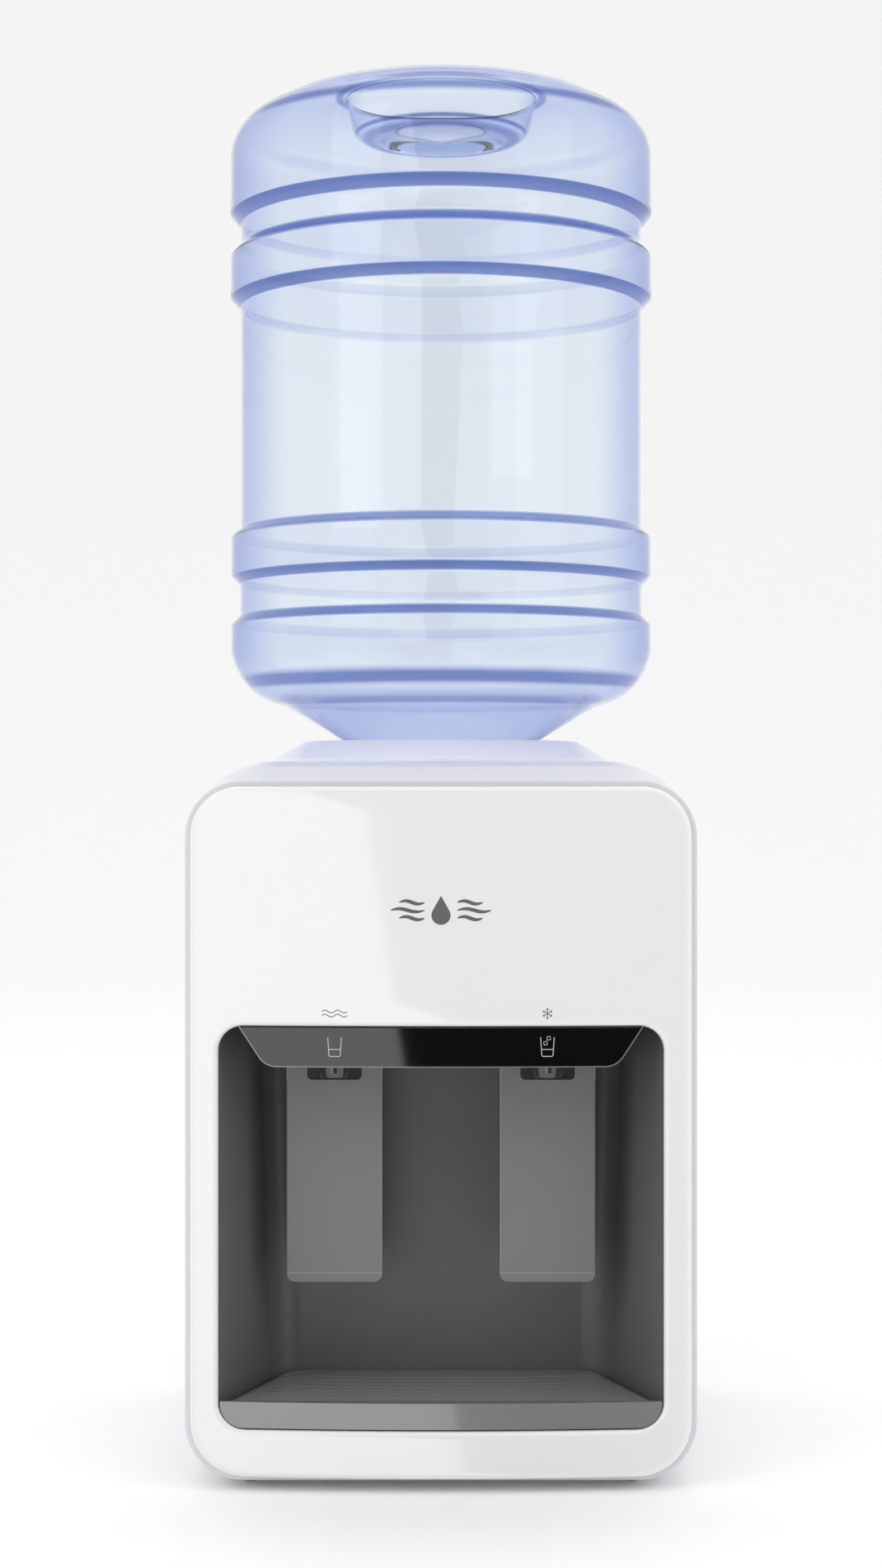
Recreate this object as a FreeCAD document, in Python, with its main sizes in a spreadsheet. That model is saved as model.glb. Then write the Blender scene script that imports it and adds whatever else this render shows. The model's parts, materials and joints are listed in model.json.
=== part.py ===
import FreeCAD, Part
import math
import os

import Sketcher

# A countertop water dispenser with an inverted 20 litre bottle, in millimetres.
# +X is to the right as one faces it, -Y is the front, +Z is up. The origin is on the
# counter, under the middle of the whole object; the bottle's axis is the Z axis.

DRIVING_SIZES = {
    # casing
    "body_half_width": 151.0,
    "body_bottom": 5.0,
    "deck_height": 429.0,
    "front_top": 417.0,
    "bottom_round": 34.5,
    "deck_round": 50.0,
    "front_top_round": 33.0,
    "housing_front": -150.0,
    "slope_back": -118.0,
    "housing_back": 150.0,
    "wall": 2.5,
    # front panel and its alcove opening
    "panel_half_width": 147.7,
    "panel_bottom": 8.6,
    "panel_top": 414.0,
    "panel_top_round": 29.0,
    "panel_bottom_round": 32.0,
    "panel_apex": -165.0,
    "panel_bow": 9.0,
    "panel_skin": 3.0,
    "alcove_half_width": 130.9,
    "alcove_top": 273.3,
    "alcove_bottom": 36.5,
    "alcove_top_round": 14.5,
    "alcove_bottom_round": 16.0,
    "alcove_back": -50.0,
    "alcove_back_half_width": 101.0,
    # control strip
    "fascia_bottom": 249.3,
    "fascia_top_half_width": 119.0,
    "fascia_bottom_half_width": 103.3,
    "fascia_round": 13.0,
    # levers and valves
    "outlet_offset": 64.5,
    "outlet_depth": -113.0,
    "lever_half_width": 28.9,
    "lever_front": -105.0,
    "lever_thick": 4.0,
    "lever_bottom": 114.0,
    "hinge_depth": -135.0,
    "hinge_height": 268.0,
    "pin_radius": 2.0,
    "slot_half_width": 16.5,
    "slot_bottom": 236.6,
    "nozzle_tip": 239.0,
    "valve_base": 251.5,
    "valve_radius": 12.0,
    "valve_top": 272.0,
    "bonnet_top": 284.0,
    "stem_radius": 2.5,
    "fork_height": 286.5,
    "fork_radius": 1.5,
    "inlet_height": 262.0,
    # drip tray
    "tray_half_width": 130.0,
    "tray_bottom": 37.4,
    "tray_lip_top": 52.7,
    "tray_round": 14.0,
    "grille_top": 51.0,
    # collar and bottle
    "collar_radius": 107.0,
    "collar_top": 443.0,
    "collar_top_radius": 87.4,
    "socket_radius": 31.0,
    "socket_bottom": 362.0,
    "bottle_radius": 134.9,
    "bottle_body_radius": 128.3,
    "bottle_groove_radius": 128.8,
    "bottle_wall": 1.5,
    "bottle_top": 858.0,
    "base_rim_radius": 60.0,
    "base_floor_radius": 54.0,
    "base_indent": 27.0,
    "neck_radius": 27.5,
    "neck_bottom": 368.0,
    "cap_hole_radius": 10.0,
    "spike_radius": 8.0,
    "cone_bottom": 423.0,
    "cone_seat": 444.0,
    "cone_seat_radius": 63.0,
    # cold tank, above the alcove
    "tank_radius": 78.0,
    "tank_bottom": 292.0,
    "tank_top": 408.0,
    "tank_wall": 1.2,
    "insulation_inner": 85.5,
    "insulation_outer": 97.0,
    "coil_tube_radius": 3.0,
    # stubs, hoses and screws
    "stub_radius": 3.4,
    "stub_bore": 2.2,
    "hose_radius": 5.0,
    "hose_bore": 3.5,
    "screw_radius": 1.7,
    # refrigeration
    "compressor_depth": 50.0,
    "compressor_radius": 60.0,
    "compressor_bottom": 26.0,
    "compressor_top": 165.0,
    "condenser_tube_radius": 2.5,
    # feet
    "foot_offset": 113.5,
    "foot_half_width": 4.0,
    "foot_half_length": 12.0,
    "foot_inset": 120.0,
}

doc = FreeCAD.newDocument("WaterDispenser")
sheet = doc.addObject("Spreadsheet::Sheet", "Sizes")
for row, (word, number) in enumerate(DRIVING_SIZES.items(), start=1):
    sheet.set("A%d" % row, word)
    sheet.set("B%d" % row, str(number))
    sheet.setAlias("B%d" % row, word)
doc.recompute()


# ---------------------------------------------------------------------------------------
# Sizes that carry both a number and the sheet expression it comes from
# ---------------------------------------------------------------------------------------

class Size:
    """A length: its number now, and the expression that ties it to the sheet."""

    def __init__(self, number, text):
        self.number = number
        self.text = text

    def joined(self, other, sign, number):
        return Size(number, "(%s %s %s)" % (self.text, sign, text_of(other)))

    def __add__(self, other):
        return self.joined(other, "+", self.number + number_of(other))

    def __sub__(self, other):
        return self.joined(other, "-", self.number - number_of(other))

    def __mul__(self, other):
        return self.joined(other, "*", self.number * number_of(other))

    def __truediv__(self, other):
        return self.joined(other, "/", self.number / number_of(other))

    def __neg__(self):
        return Size(-self.number, "(0 - %s)" % self.text)

    def __radd__(self, other):
        return Size(other, "%r" % other) + self

    def __rsub__(self, other):
        return Size(other, "%r" % other) - self

    def __rmul__(self, other):
        return self * other


def number_of(size):
    return size.number if isinstance(size, Size) else float(size)


def text_of(size):
    return size.text if isinstance(size, Size) else "%.6f" % size


def from_sheet(word):
    return Size(DRIVING_SIZES[word], "Sizes." + word)


class Sheet:
    """S.deck_height is the sheet's cell of that name, as a Size."""

    def __getattr__(self, word):
        return from_sheet(word)


S = Sheet()


def bind(thing, property_name, size):
    """Ties a property to the sheet when its size comes from there."""
    if isinstance(size, Size):
        thing.setExpression(property_name, size.text)


# ---------------------------------------------------------------------------------------
# Loops: each is a function that draws one closed outline in a sketch
# ---------------------------------------------------------------------------------------

def pinned(geometry, end, x, y):
    """Constraints that hold one point of a geometry at (x, y), with the sizes that drive them."""
    held = []
    for name, axis, size in (("DistanceX", -2, x), ("DistanceY", -1, y)):
        if abs(number_of(size)) < 1e-9:
            held.append((Sketcher.Constraint("PointOnObject", geometry, end, axis), None))
        else:
            held.append((Sketcher.Constraint(name, -1, 1, geometry, end, number_of(size)), size))
    return held


def add_constraints(sketch, held):
    """Adds the constraints in one go and binds those that a size drives."""
    first = sketch.ConstraintCount
    sketch.addConstraint([constraint for constraint, size in held])
    for index, (constraint, size) in enumerate(held):
        if isinstance(size, Size):
            bind(sketch, "Constraints[%d]" % (first + index), size)


def circle(x, y, radius):
    def draw(sketch):
        middle = FreeCAD.Vector(number_of(x), number_of(y), 0)
        up = FreeCAD.Vector(0, 0, 1)
        ring = sketch.addGeometry(Part.Circle(middle, up, number_of(radius)), False)
        held = pinned(ring, 3, x, y)
        held.append((Sketcher.Constraint("Radius", ring, number_of(radius)), radius))
        add_constraints(sketch, held)
    return draw


def around(x, y, reach, radius, turns):
    """Small circles on a larger one, at the given turns in degrees."""
    spokes = [(math.cos(math.radians(turn)), math.sin(math.radians(turn))) for turn in turns]
    return [circle(x + reach * across, y + reach * up, radius) for across, up in spokes]


def rounded_corner(before, corner, after, radius):
    """The arc that rounds a corner: its two tangent points, its geometry, and which end comes first."""
    inward = (before - corner).normalize()
    outward = (after - corner).normalize()
    half = inward.getAngle(outward) / 2
    entry = corner + inward * (radius / math.tan(half))
    leave = corner + outward * (radius / math.tan(half))
    middle = corner + (inward + outward).normalize() * (radius / math.sin(half))
    left_turn = (-inward).cross(outward).z > 0
    first, last = (entry, leave) if left_turn else (leave, entry)
    start_angle = math.atan2(first.y - middle.y, first.x - middle.x)
    end_angle = math.atan2(last.y - middle.y, last.x - middle.x)
    if end_angle < start_angle:
        end_angle += 2 * math.pi
    arc = Part.ArcOfCircle(Part.Circle(middle, FreeCAD.Vector(0, 0, 1), radius), start_angle, end_angle)
    return entry, leave, arc, (1 if left_turn else 2)


def outline(corners):
    """A closed outline of straight edges through corners (x, y) or (x, y, radius)."""
    def draw(sketch):
        spots = [FreeCAD.Vector(number_of(c[0]), number_of(c[1]), 0) for c in corners]
        count = len(corners)
        starts = list(spots)
        ends = [spots[(i + 1) % count] for i in range(count)]
        arcs = {}
        for i, corner in enumerate(corners):
            if len(corner) == 3:
                turned = rounded_corner(spots[i - 1], spots[i], spots[(i + 1) % count], number_of(corner[2]))
                ends[i - 1] = turned[0]
                starts[i] = turned[1]
                arcs[i] = turned[2:]
        first = sketch.GeometryCount
        sketch.addGeometry([Part.LineSegment(starts[i], ends[i]) for i in range(count)], False)
        held = []
        for i, corner in enumerate(corners):
            incoming = first + (i - 1) % count
            outgoing = first + i
            if i not in arcs:
                held.append((Sketcher.Constraint("Coincident", incoming, 2, outgoing, 1), None))
                held += pinned(outgoing, 1, corner[0], corner[1])
                continue
            arc, entry_end = arcs[i]
            rounding = sketch.addGeometry(arc, False)
            vertex = sketch.addGeometry(Part.Point(spots[i]), True)
            held.append((Sketcher.Constraint("Tangent", incoming, 2, rounding, entry_end), None))
            held.append((Sketcher.Constraint("Tangent", outgoing, 1, rounding, 3 - entry_end), None))
            held.append((Sketcher.Constraint("PointOnObject", vertex, 1, incoming), None))
            held.append((Sketcher.Constraint("PointOnObject", vertex, 1, outgoing), None))
            held.append((Sketcher.Constraint("Radius", rounding, number_of(corner[2])), corner[2]))
            held += pinned(vertex, 1, corner[0], corner[1])
        add_constraints(sketch, held)
    return draw


def rectangle(x_low, x_high, y_low, y_high, low_round=None, high_round=None):
    """A rectangle, with its two lower and two upper corners rounded if asked."""
    low = (low_round,) if low_round is not None else ()
    high = (high_round,) if high_round is not None else ()
    return outline([(x_low, y_low) + low, (x_high, y_low) + low,
                    (x_high, y_high) + high, (x_low, y_high) + high])


def bowed(half_width, apex, bow, back):
    """A plan with a straight back and sides, and a front that bows out by `bow` to `apex`."""
    def draw(sketch):
        edge = number_of(apex) + number_of(bow)
        left = FreeCAD.Vector(-number_of(half_width), edge, 0)
        right = FreeCAD.Vector(number_of(half_width), edge, 0)
        nose = FreeCAD.Vector(0, number_of(apex), 0)
        back_right = FreeCAD.Vector(number_of(half_width), number_of(back), 0)
        back_left = FreeCAD.Vector(-number_of(half_width), number_of(back), 0)
        first = sketch.GeometryCount
        sketch.addGeometry([Part.Arc(left, nose, right), Part.LineSegment(right, back_right),
                            Part.LineSegment(back_right, back_left),
                            Part.LineSegment(back_left, left)], False)
        tip = sketch.addGeometry(Part.Point(nose), True)
        held = [(Sketcher.Constraint("Coincident", first, 2, first + 1, 1), None),
                (Sketcher.Constraint("Coincident", first + 1, 2, first + 2, 1), None),
                (Sketcher.Constraint("Coincident", first + 2, 2, first + 3, 1), None),
                (Sketcher.Constraint("Coincident", first + 3, 2, first, 1), None),
                (Sketcher.Constraint("PointOnObject", tip, 1, first), None)]
        held += pinned(tip, 1, 0, apex)
        held += pinned(first, 1, -half_width, apex + bow)
        held += pinned(first, 2, half_width, apex + bow)
        held += pinned(first + 1, 2, half_width, back)
        held += pinned(first + 2, 2, -half_width, back)
        add_constraints(sketch, held)
    return draw


# ---------------------------------------------------------------------------------------
# Features
# ---------------------------------------------------------------------------------------

# How far each origin plane's normal runs along its own axis: +Z, -Y and +X
PLANES = {"XY": 1, "XZ": -1, "YZ": 1}

parts = []


def body(label):
    made = doc.addObject("PartDesign::Body", label)
    made.Label = label
    return made


def keep(thing, label=None):
    """Marks an object of the document as a sub-part, one file of its own."""
    if label:
        thing.Label = label
    parts.append(thing)
    return thing


def sketch_on(owner, plane, height, loops):
    """A sketch of the loops on one of the body's origin planes, moved along that plane's axis."""
    sketch = owner.newObject("Sketcher::SketchObject", owner.Label + "_sketch")
    role = plane + "_Plane"
    support = [feature for feature in owner.Origin.OriginFeatures if feature.Role == role][0]
    sketch.AttachmentSupport = [(support, "")]
    sketch.MapMode = "FlatFace"
    offset = height * PLANES[plane]
    sketch.AttachmentOffset = FreeCAD.Placement(FreeCAD.Vector(0, 0, number_of(offset)), FreeCAD.Rotation())
    bind(sketch, "AttachmentOffset.Base.z", offset)
    for draw in loops:
        draw(sketch)
    return sketch


def add(owner, plane, low, high, *loops):
    """Material between two heights along the plane's axis, with the loops as its section."""
    start = low if PLANES[plane] > 0 else high
    sketch = sketch_on(owner, plane, start, loops)
    feature = owner.newObject("PartDesign::Pad", owner.Label + "_pad")
    feature.Profile = sketch
    feature.Length = number_of(high) - number_of(low)
    bind(feature, "Length", high - low)
    return feature


def cut(owner, plane, low, high, *loops):
    """A recess between two heights along the plane's axis, with the loops as its section."""
    start = high if PLANES[plane] > 0 else low
    sketch = sketch_on(owner, plane, start, loops)
    feature = owner.newObject("PartDesign::Pocket", owner.Label + "_pocket")
    feature.Profile = sketch
    feature.Length = number_of(high) - number_of(low)
    bind(feature, "Length", high - low)
    return feature


def revolve(owner, corners, kind="Revolution"):
    """Turns a half section, given as (radius, height) corners, about the body's Z axis."""
    sketch = sketch_on(owner, "XZ", 0, [outline(corners)])
    feature = owner.newObject("PartDesign::" + kind, owner.Label + "_turned")
    feature.Profile = sketch
    feature.ReferenceAxis = (sketch, ["V_Axis"])
    feature.Angle = 360.0
    return feature


def loft(owner, plane, sections, kind="AdditiveLoft", ruled=True):
    """Blends sections, each a height and its loop."""
    sketches = [sketch_on(owner, plane, height, [loop]) for height, loop in sections]
    feature = owner.newObject("PartDesign::" + kind, owner.Label + "_loft")
    feature.Profile = sketches[0]
    feature.Sections = sketches[1:]
    feature.Ruled = ruled
    return feature


def edges_where(shape, test):
    """Names of the edges whose middle point and ends pass the test."""
    names = []
    for index, edge in enumerate(shape.Edges, start=1):
        middle = edge.valueAt((edge.FirstParameter + edge.LastParameter) / 2)
        if test(edge, middle):
            names.append("Edge%d" % index)
    return names


def soften(owner, size, test, kind="Fillet"):
    """Rounds (or chamfers) the edges of the body's last feature that pass the test."""
    doc.recompute()
    base = owner.Tip
    names = edges_where(base.Shape, test)
    feature = owner.newObject("PartDesign::" + kind, owner.Label + "_edges")
    feature.Base = (base, names)
    if kind == "Fillet":
        feature.Radius = size
    else:
        feature.Size = size
    return feature


def place(thing, x=0, y=0, z=0, axis=(0, 0, 1), angle=0):
    """Puts a sub-part at (x, y, z), turned by an angle about an axis."""
    spot = FreeCAD.Vector(number_of(x), number_of(y), number_of(z))
    thing.Placement = FreeCAD.Placement(spot, FreeCAD.Rotation(FreeCAD.Vector(*axis), angle))
    for letter, size in (("x", x), ("y", y), ("z", z)):
        bind(thing, "Placement.Base." + letter, size)
    return thing


def primitive(kind, name, x=0, y=0, z=0, axis=(0, 0, 1), angle=0, **sizes):
    """A Part primitive with its sizes bound, in place."""
    made = doc.addObject("Part::" + kind, name)
    for property_name, size in sizes.items():
        setattr(made, property_name, number_of(size))
        bind(made, property_name, size)
    return place(made, x, y, z, axis, angle)


def boolean(kind, name, base, tool):
    """Part::Cut or Part::Common of two objects, or Part::MultiFuse or a compound of several."""
    made = doc.addObject("Part::" + kind, name)
    if kind in ("Cut", "Common"):
        made.Base = base
        made.Tool = tool
    return made


def group(name, members):
    """Separate identical pieces that share one node."""
    made = doc.addObject("Part::Compound", name)
    made.Links = members
    return keep(made, name)


# ---------------------------------------------------------------------------------------
# Casing
# ---------------------------------------------------------------------------------------

BEYOND = 400.0  # further out than anything in the object
GLAND_X, GLAND_Z = -118.0, 40.0
SPOUT_Z = 36.0
KNOB_X, KNOB_Z = 126.0, 330.0
REAR_SCREWS = [(x, z) for x in (-138, 138) for z in (60, 220, 372)]
BASE_SCREWS = [(x, y) for x in (-108, 108) for y in (-90, 0, 90)]
FOOT_SPOTS = [(x, y) for x in (-66, 66) for y in (-42, 42)]  # from the compressor's axis


def housing_section(inset, top, top_round):
    """The housing's section across its depth, pulled in by an inset."""
    return rectangle(-S.body_half_width + inset, S.body_half_width - inset,
                     S.body_bottom + inset, top - inset,
                     S.bottom_round - inset, top_round - inset)


def make_main_housing():
    """White wrap of bottom, sides and deck; its deck slopes down to the front panel."""
    made = body("main_housing")
    middle = (S.housing_front + S.slope_back) / 2
    swell = 3.0
    crest = (S.deck_height + S.front_top) / 2 + swell
    round_between = (S.deck_round + S.front_top_round) / 2 + swell
    add(made, "XZ", S.slope_back, S.housing_back, housing_section(0, S.deck_height, S.deck_round))
    loft(made, "XZ", [(S.slope_back, housing_section(0, S.deck_height, S.deck_round)),
                      (middle, housing_section(0, crest, round_between)),
                      (S.housing_front, housing_section(0, S.front_top, S.front_top_round))])
    cut(made, "XZ", S.slope_back, S.housing_back + 1, housing_section(S.wall, S.deck_height, S.deck_round))
    loft(made, "XZ", [(S.slope_back + 1, housing_section(S.wall, S.deck_height, S.deck_round)),
                      (middle, housing_section(S.wall, crest, round_between)),
                      (S.housing_front - 1, housing_section(S.wall + 2, S.front_top, S.front_top_round))],
         "SubtractiveLoft")
    cut(made, "XY", S.deck_height - 10, S.deck_height + 1, circle(0, 0, S.tank_radius + 3))
    floor_slots = [rectangle(x - 22.0, x + 22.0, y - 3.0, y + 3.0, 2.5, 2.5)
                   for x in (-50, 50) for y in range(-60, 120, 20)]
    screw_holes = [circle(x, y, S.screw_radius + 0.05) for x, y in BASE_SCREWS]
    cut(made, "XY", 0, S.body_bottom + 4, *floor_slots, *screw_holes)
    side_slots = [rectangle(40.0, 120.0, low, low + 5.0, 2.4, 2.4) for low in range(70, 196, 14)]
    cut(made, "YZ", -BEYOND, BEYOND, *side_slots)
    return keep(made)


def bowed_block(name, inset, skin, island):
    """A block with the front panel's bow; the inset pulls its outline in and the skin its face."""
    made = body(name)
    back = S.housing_front
    add(made, "XY", S.panel_bottom, S.panel_top,
        bowed(S.panel_half_width, S.panel_apex + skin, S.panel_bow, back))
    loops = [rectangle(-BEYOND, BEYOND, -BEYOND, 2 * BEYOND),
             rectangle(-S.panel_half_width + inset, S.panel_half_width - inset,
                       S.panel_bottom + inset, S.panel_top - inset,
                       S.panel_bottom_round - inset, S.panel_top_round - inset)]
    if island:
        loops.append(alcove_outline(S.panel_skin))
    cut(made, "XZ", -BEYOND, back + 1, *loops)
    return made


def alcove_outline(outset=0.0):
    """The alcove's rounded opening, grown by an outset."""
    return rectangle(-S.alcove_half_width - outset, S.alcove_half_width + outset,
                     S.alcove_bottom - outset, S.alcove_top + outset,
                     S.alcove_bottom_round + outset, S.alcove_top_round + outset)


def make_front_panel():
    """Glossy bezel: a bowed skin with a rim, a wall around the alcove and softened edges."""
    outer = bowed_block("panel_outer", 0, 0, False)
    cut(outer, "XZ", -BEYOND, S.housing_front + 1, alcove_outline())
    front = S.panel_apex + S.panel_bow
    soften(outer, 3.0, lambda edge, middle: middle.y < front.number + 3 and edge.Length > 5)
    hollow = bowed_block("panel_hollow", S.panel_skin, S.panel_skin, True)
    panel = boolean("Cut", "front_panel", outer, hollow)
    return keep(panel)


def make_alcove_liner():
    """Dark recess, wider at the front than at the back, open to the front."""
    wall = 2.0
    front = S.housing_front
    half = S.alcove_half_width
    back_half = S.alcove_back_half_width

    def plan(grow, draft):
        return outline([(-half - grow, front), (half + grow, front),
                        (back_half + draft + grow, S.alcove_back + grow, 20.0 + grow),
                        (-back_half - draft - grow, S.alcove_back + grow, 20.0 + grow)])

    made = body("alcove_liner")
    low, high = S.alcove_bottom - 2.5, S.alcove_top + 1.7
    flare = 7.6  # how much wider each side is at the top of the back
    loft(made, "XY", [(low - wall, plan(wall, 0.0)), (high + wall, plan(wall, flare))])
    loft(made, "XY", [(low, plan(0.0, 0.0)), (high, plan(0.0, flare))], "SubtractiveLoft")
    cut(made, "XZ", -BEYOND, front + 1, rectangle(-half + 6, half - 6, low, high))
    gap_half, gap_front, gap_back = 35.0, -142.0, -76.0
    lever_gaps = [rectangle(S.outlet_offset * side - gap_half, S.outlet_offset * side + gap_half,
                            gap_front, gap_back, 4.0, 4.0) for side in (-1, 1)]
    cut(made, "XY", high - 1, high + wall + 1, *lever_gaps)
    return keep(made)


def make_control_fascia():
    """Black visor strip across the top of the alcove, following the panel's bow."""
    made = body("control_fascia")
    apex = S.panel_apex + 1.2
    top = S.alcove_top - 0.3
    slant = [(-S.fascia_bottom_half_width, S.fascia_bottom, S.fascia_round),
             (S.fascia_bottom_half_width, S.fascia_bottom, S.fascia_round),
             (S.fascia_top_half_width, top), (-S.fascia_top_half_width, top)]
    add(made, "XY", S.fascia_bottom, top,
        bowed(S.panel_half_width, apex, S.panel_bow, apex + S.panel_bow + 0.1))
    cut(made, "XZ", -BEYOND, S.housing_front + 10, rectangle(-BEYOND, BEYOND, 0, BEYOND), outline(slant))
    front = apex + S.panel_bow
    soften(made, 0.6, lambda edge, middle: middle.y < front.number - 0.5, "Chamfer")
    return keep(made)


def make_nozzle_hood():
    """Dark plate behind the fascia: it carries the valves and, on four cheeks, the lever pins."""
    made = body("nozzle_hood")
    low, high = S.fascia_bottom + 0.2, S.valve_base
    front = S.panel_apex + S.panel_bow + 1.4
    tongue = 15.0
    cheek_half = 1.3
    nozzle_hole = 9.3
    add(made, "XY", low, high, rectangle(-S.fascia_bottom_half_width + 3, S.fascia_bottom_half_width - 3,
                                         front, S.outlet_depth + 5))
    add(made, "XY", low, high, *[rectangle(S.outlet_offset * side - tongue, S.outlet_offset * side + tongue,
                                           front + 5, S.outlet_depth + 14, None, 5.0) for side in (-1, 1)])
    for side in (-1, 1):
        for cheek in (-1, 1):
            middle = S.outlet_offset * side + cheek * (S.lever_half_width + 2 * cheek_half)
            add(made, "YZ", middle - cheek_half, middle + cheek_half,
                outline([(S.hinge_depth - 9, high - 1), (S.hinge_depth + 9, high - 1),
                         (S.hinge_depth + 6, S.hinge_height + 5, 5.0),
                         (S.hinge_depth - 6, S.hinge_height + 5, 5.0)]))
    cut(made, "YZ", -S.fascia_top_half_width, S.fascia_top_half_width,
        circle(S.hinge_depth, S.hinge_height, S.pin_radius))
    cut(made, "XY", low - 1, high + 1,
        *[circle(S.outlet_offset * side, S.outlet_depth, nozzle_hole) for side in (-1, 1)])
    posts = [rectangle(x - 5.0, x + 5.0, front + 6, front + 16, 1.5, 1.5) for x in (-20, 0, 20)]
    add(made, "XY", high - 1, S.alcove_top + 1.7, *posts)
    return keep(made)


def make_base_plate():
    """Steel tray in the bottom of the housing that carries the compressor."""
    made = body("base_plate")
    half = S.body_half_width - 33
    low = S.body_bottom + S.wall + 0.5
    sheet_thick, flange_height = 2.0, 12.0
    front, back = -130.0, 138.0
    add(made, "XY", low, low + sheet_thick, rectangle(-half, half, front, back, 8.0, 8.0))
    add(made, "XY", low, low + flange_height, rectangle(-half, half, back - sheet_thick, back))
    holes = [circle(x, S.compressor_depth + y, 3.1) for x, y in FOOT_SPOTS]
    holes += [circle(x, y, S.screw_radius + 0.05) for x, y in BASE_SCREWS]
    slots = [rectangle(-40.0, 40.0, y - 3.0, y + 3.0, 2.5, 2.5) for y in (-60, -40, 40, 60)]
    cut(made, "XY", low - 1, low + 3, *holes, *slots)
    return keep(made)


def make_rear_panel():
    """Back cover with rows of louvres and holes for the gland, spout and thermostat."""
    made = body("rear_panel")
    gap = S.wall + 0.3
    back = S.housing_back - 0.5
    add(made, "XZ", back - 2.5, back, housing_section(gap, S.deck_height, S.deck_round))
    louvres = [rectangle(x - 42.0, x + 42.0, z - 2.5, z + 2.5, 2.4, 2.4)
               for x in (-50, 50) for z in (56, 70, 84, 398, 412)]
    ports = [circle(GLAND_X, GLAND_Z, 8.0), circle(0, SPOUT_Z, 8.0), circle(KNOB_X, KNOB_Z, 5.0)]
    screws = [circle(x, z, S.screw_radius + 0.1) for x, z in REAR_SCREWS]
    cut(made, "XZ", back - 5, back + 5, *louvres, *ports, *screws)
    return keep(made)


def make_foot(x, y):
    """Small black rubber block under the housing."""
    made = body("foot")
    add(made, "XY", 0, S.body_bottom, rectangle(-S.foot_half_width, S.foot_half_width,
                                                -S.foot_half_length, S.foot_half_length, 3.0, 3.0))
    soften(made, 0.8, lambda edge, middle: middle.z < 0.1)
    return place(made, x, y)


def make_feet():
    group("rubber_feet", [make_foot(x, y) for x in (-S.foot_offset, S.foot_offset)
                          for y in (-S.foot_inset, S.foot_inset)])


def screw(name, x, y, z, axis, angle, shank, length, head):
    """A pan-head screw whose shank runs along its local -Z from the origin."""
    made = body(name)
    revolve(made, [(0, -length), (shank * 0.4, -length), (shank, -length + 2), (shank, 0), (head, 0),
                   (head, 1.4, 1.0), (0, 1.4)])
    cut(made, "XY", 0.7, 3, rectangle(-head, head, -0.5, 0.5))
    return place(made, x, y, z, axis, angle)


def make_screws():
    back = S.housing_back - 0.5
    floor = S.body_bottom + S.wall + 2.5
    shank, head = S.screw_radius, S.screw_radius * 2
    group("rear_panel_screws", [screw("rear_screw", x, back, z, (1, 0, 0), -90, shank, 10.0, head)
                                for x, z in REAR_SCREWS])
    group("base_screws", [screw("base_screw", x, y, floor, (0, 0, 1), 0, shank, 4.5, head)
                          for x, y in BASE_SCREWS])


# ---------------------------------------------------------------------------------------
# Levers and valves: both sides are alike, so each is made at x = 0 and moved to its place
# ---------------------------------------------------------------------------------------

SIDES = (("natural", -1), ("cold", 1))


def make_lever(word, side):
    """Paddle hanging from two arms; short fork bars on the arms lift the valve stem."""
    made = body("lever_" + word)
    front, back = S.lever_front, S.lever_front + S.lever_thick
    half = S.lever_half_width
    arm = S.slot_half_width
    arm_low, arm_high, paddle_top = 236.0, 270.0, 262.0
    add(made, "XZ", front, back, rectangle(-half, half, S.lever_bottom, paddle_top, 5.0, None))
    cut(made, "XZ", front - 1, back + 1, rectangle(-arm, arm, S.slot_bottom, BEYOND, 3.0, None))
    soften(made, 0.8, lambda edge, middle: abs(middle.y - front.number) < 0.01
           and abs(abs(middle.x) - half.number) < 0.1 and 130 < middle.z < 250)
    slant_top = S.lever_bottom + 5.4
    cut(made, "YZ", -half - 1, half + 1,
        outline([(front - 1, S.lever_bottom - 1), (front + 1.2, S.lever_bottom - 1),
                 (front, slant_top), (front - 1, slant_top)]))
    profile = [(front, arm_low), (back, arm_low), (back, arm_high),
               (S.outlet_depth + 4, S.fork_height + 4, 4.0),
               (S.outlet_depth - 5, S.fork_height + 4, 4.0),
               (S.hinge_depth + 5, S.hinge_height + 7, 4.0),
               (S.hinge_depth - 6.5, S.hinge_height + 6, 6.0),
               (S.hinge_depth - 6.5, S.hinge_height - 6, 6.0),
               (S.hinge_depth + 4, S.hinge_height - 7, 6.0), (front, 256.0)]
    for start, end in ((arm, half), (-half, -arm)):
        add(made, "YZ", start, end, outline(profile))
    cut(made, "YZ", -half - 1, half + 1, circle(S.hinge_depth, S.hinge_height, S.pin_radius + 0.05))
    for start, end in ((4.0, arm + 1), (-arm - 1, -4.0)):
        add(made, "YZ", start, end, circle(S.outlet_depth, S.fork_height, S.fork_radius))
    place(made, S.outlet_offset * side)
    return keep(made)


def make_valve_body(word, side):
    """Valve chamber with a seat, a spigot for the nozzle below and an inlet barb at the back."""
    made = body("valve_body_" + word)
    revolve(made, [(3.0, S.valve_base - 5.5), (6.0, S.valve_base - 5.5), (6.0, S.valve_base),
                   (S.valve_radius, S.valve_base, 1.0), (S.valve_radius, S.valve_top),
                   (9.0, S.valve_top), (9.0, S.valve_base + 5.5), (3.0, S.valve_base + 5.5)])
    add(made, "XZ", 10.5, 20.0, circle(0, S.inlet_height, S.stub_radius))
    cut(made, "XZ", 8.0, 21.0, circle(0, S.inlet_height, S.stub_bore))
    place(made, S.outlet_offset * side, S.outlet_depth)
    return keep(made)


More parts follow.
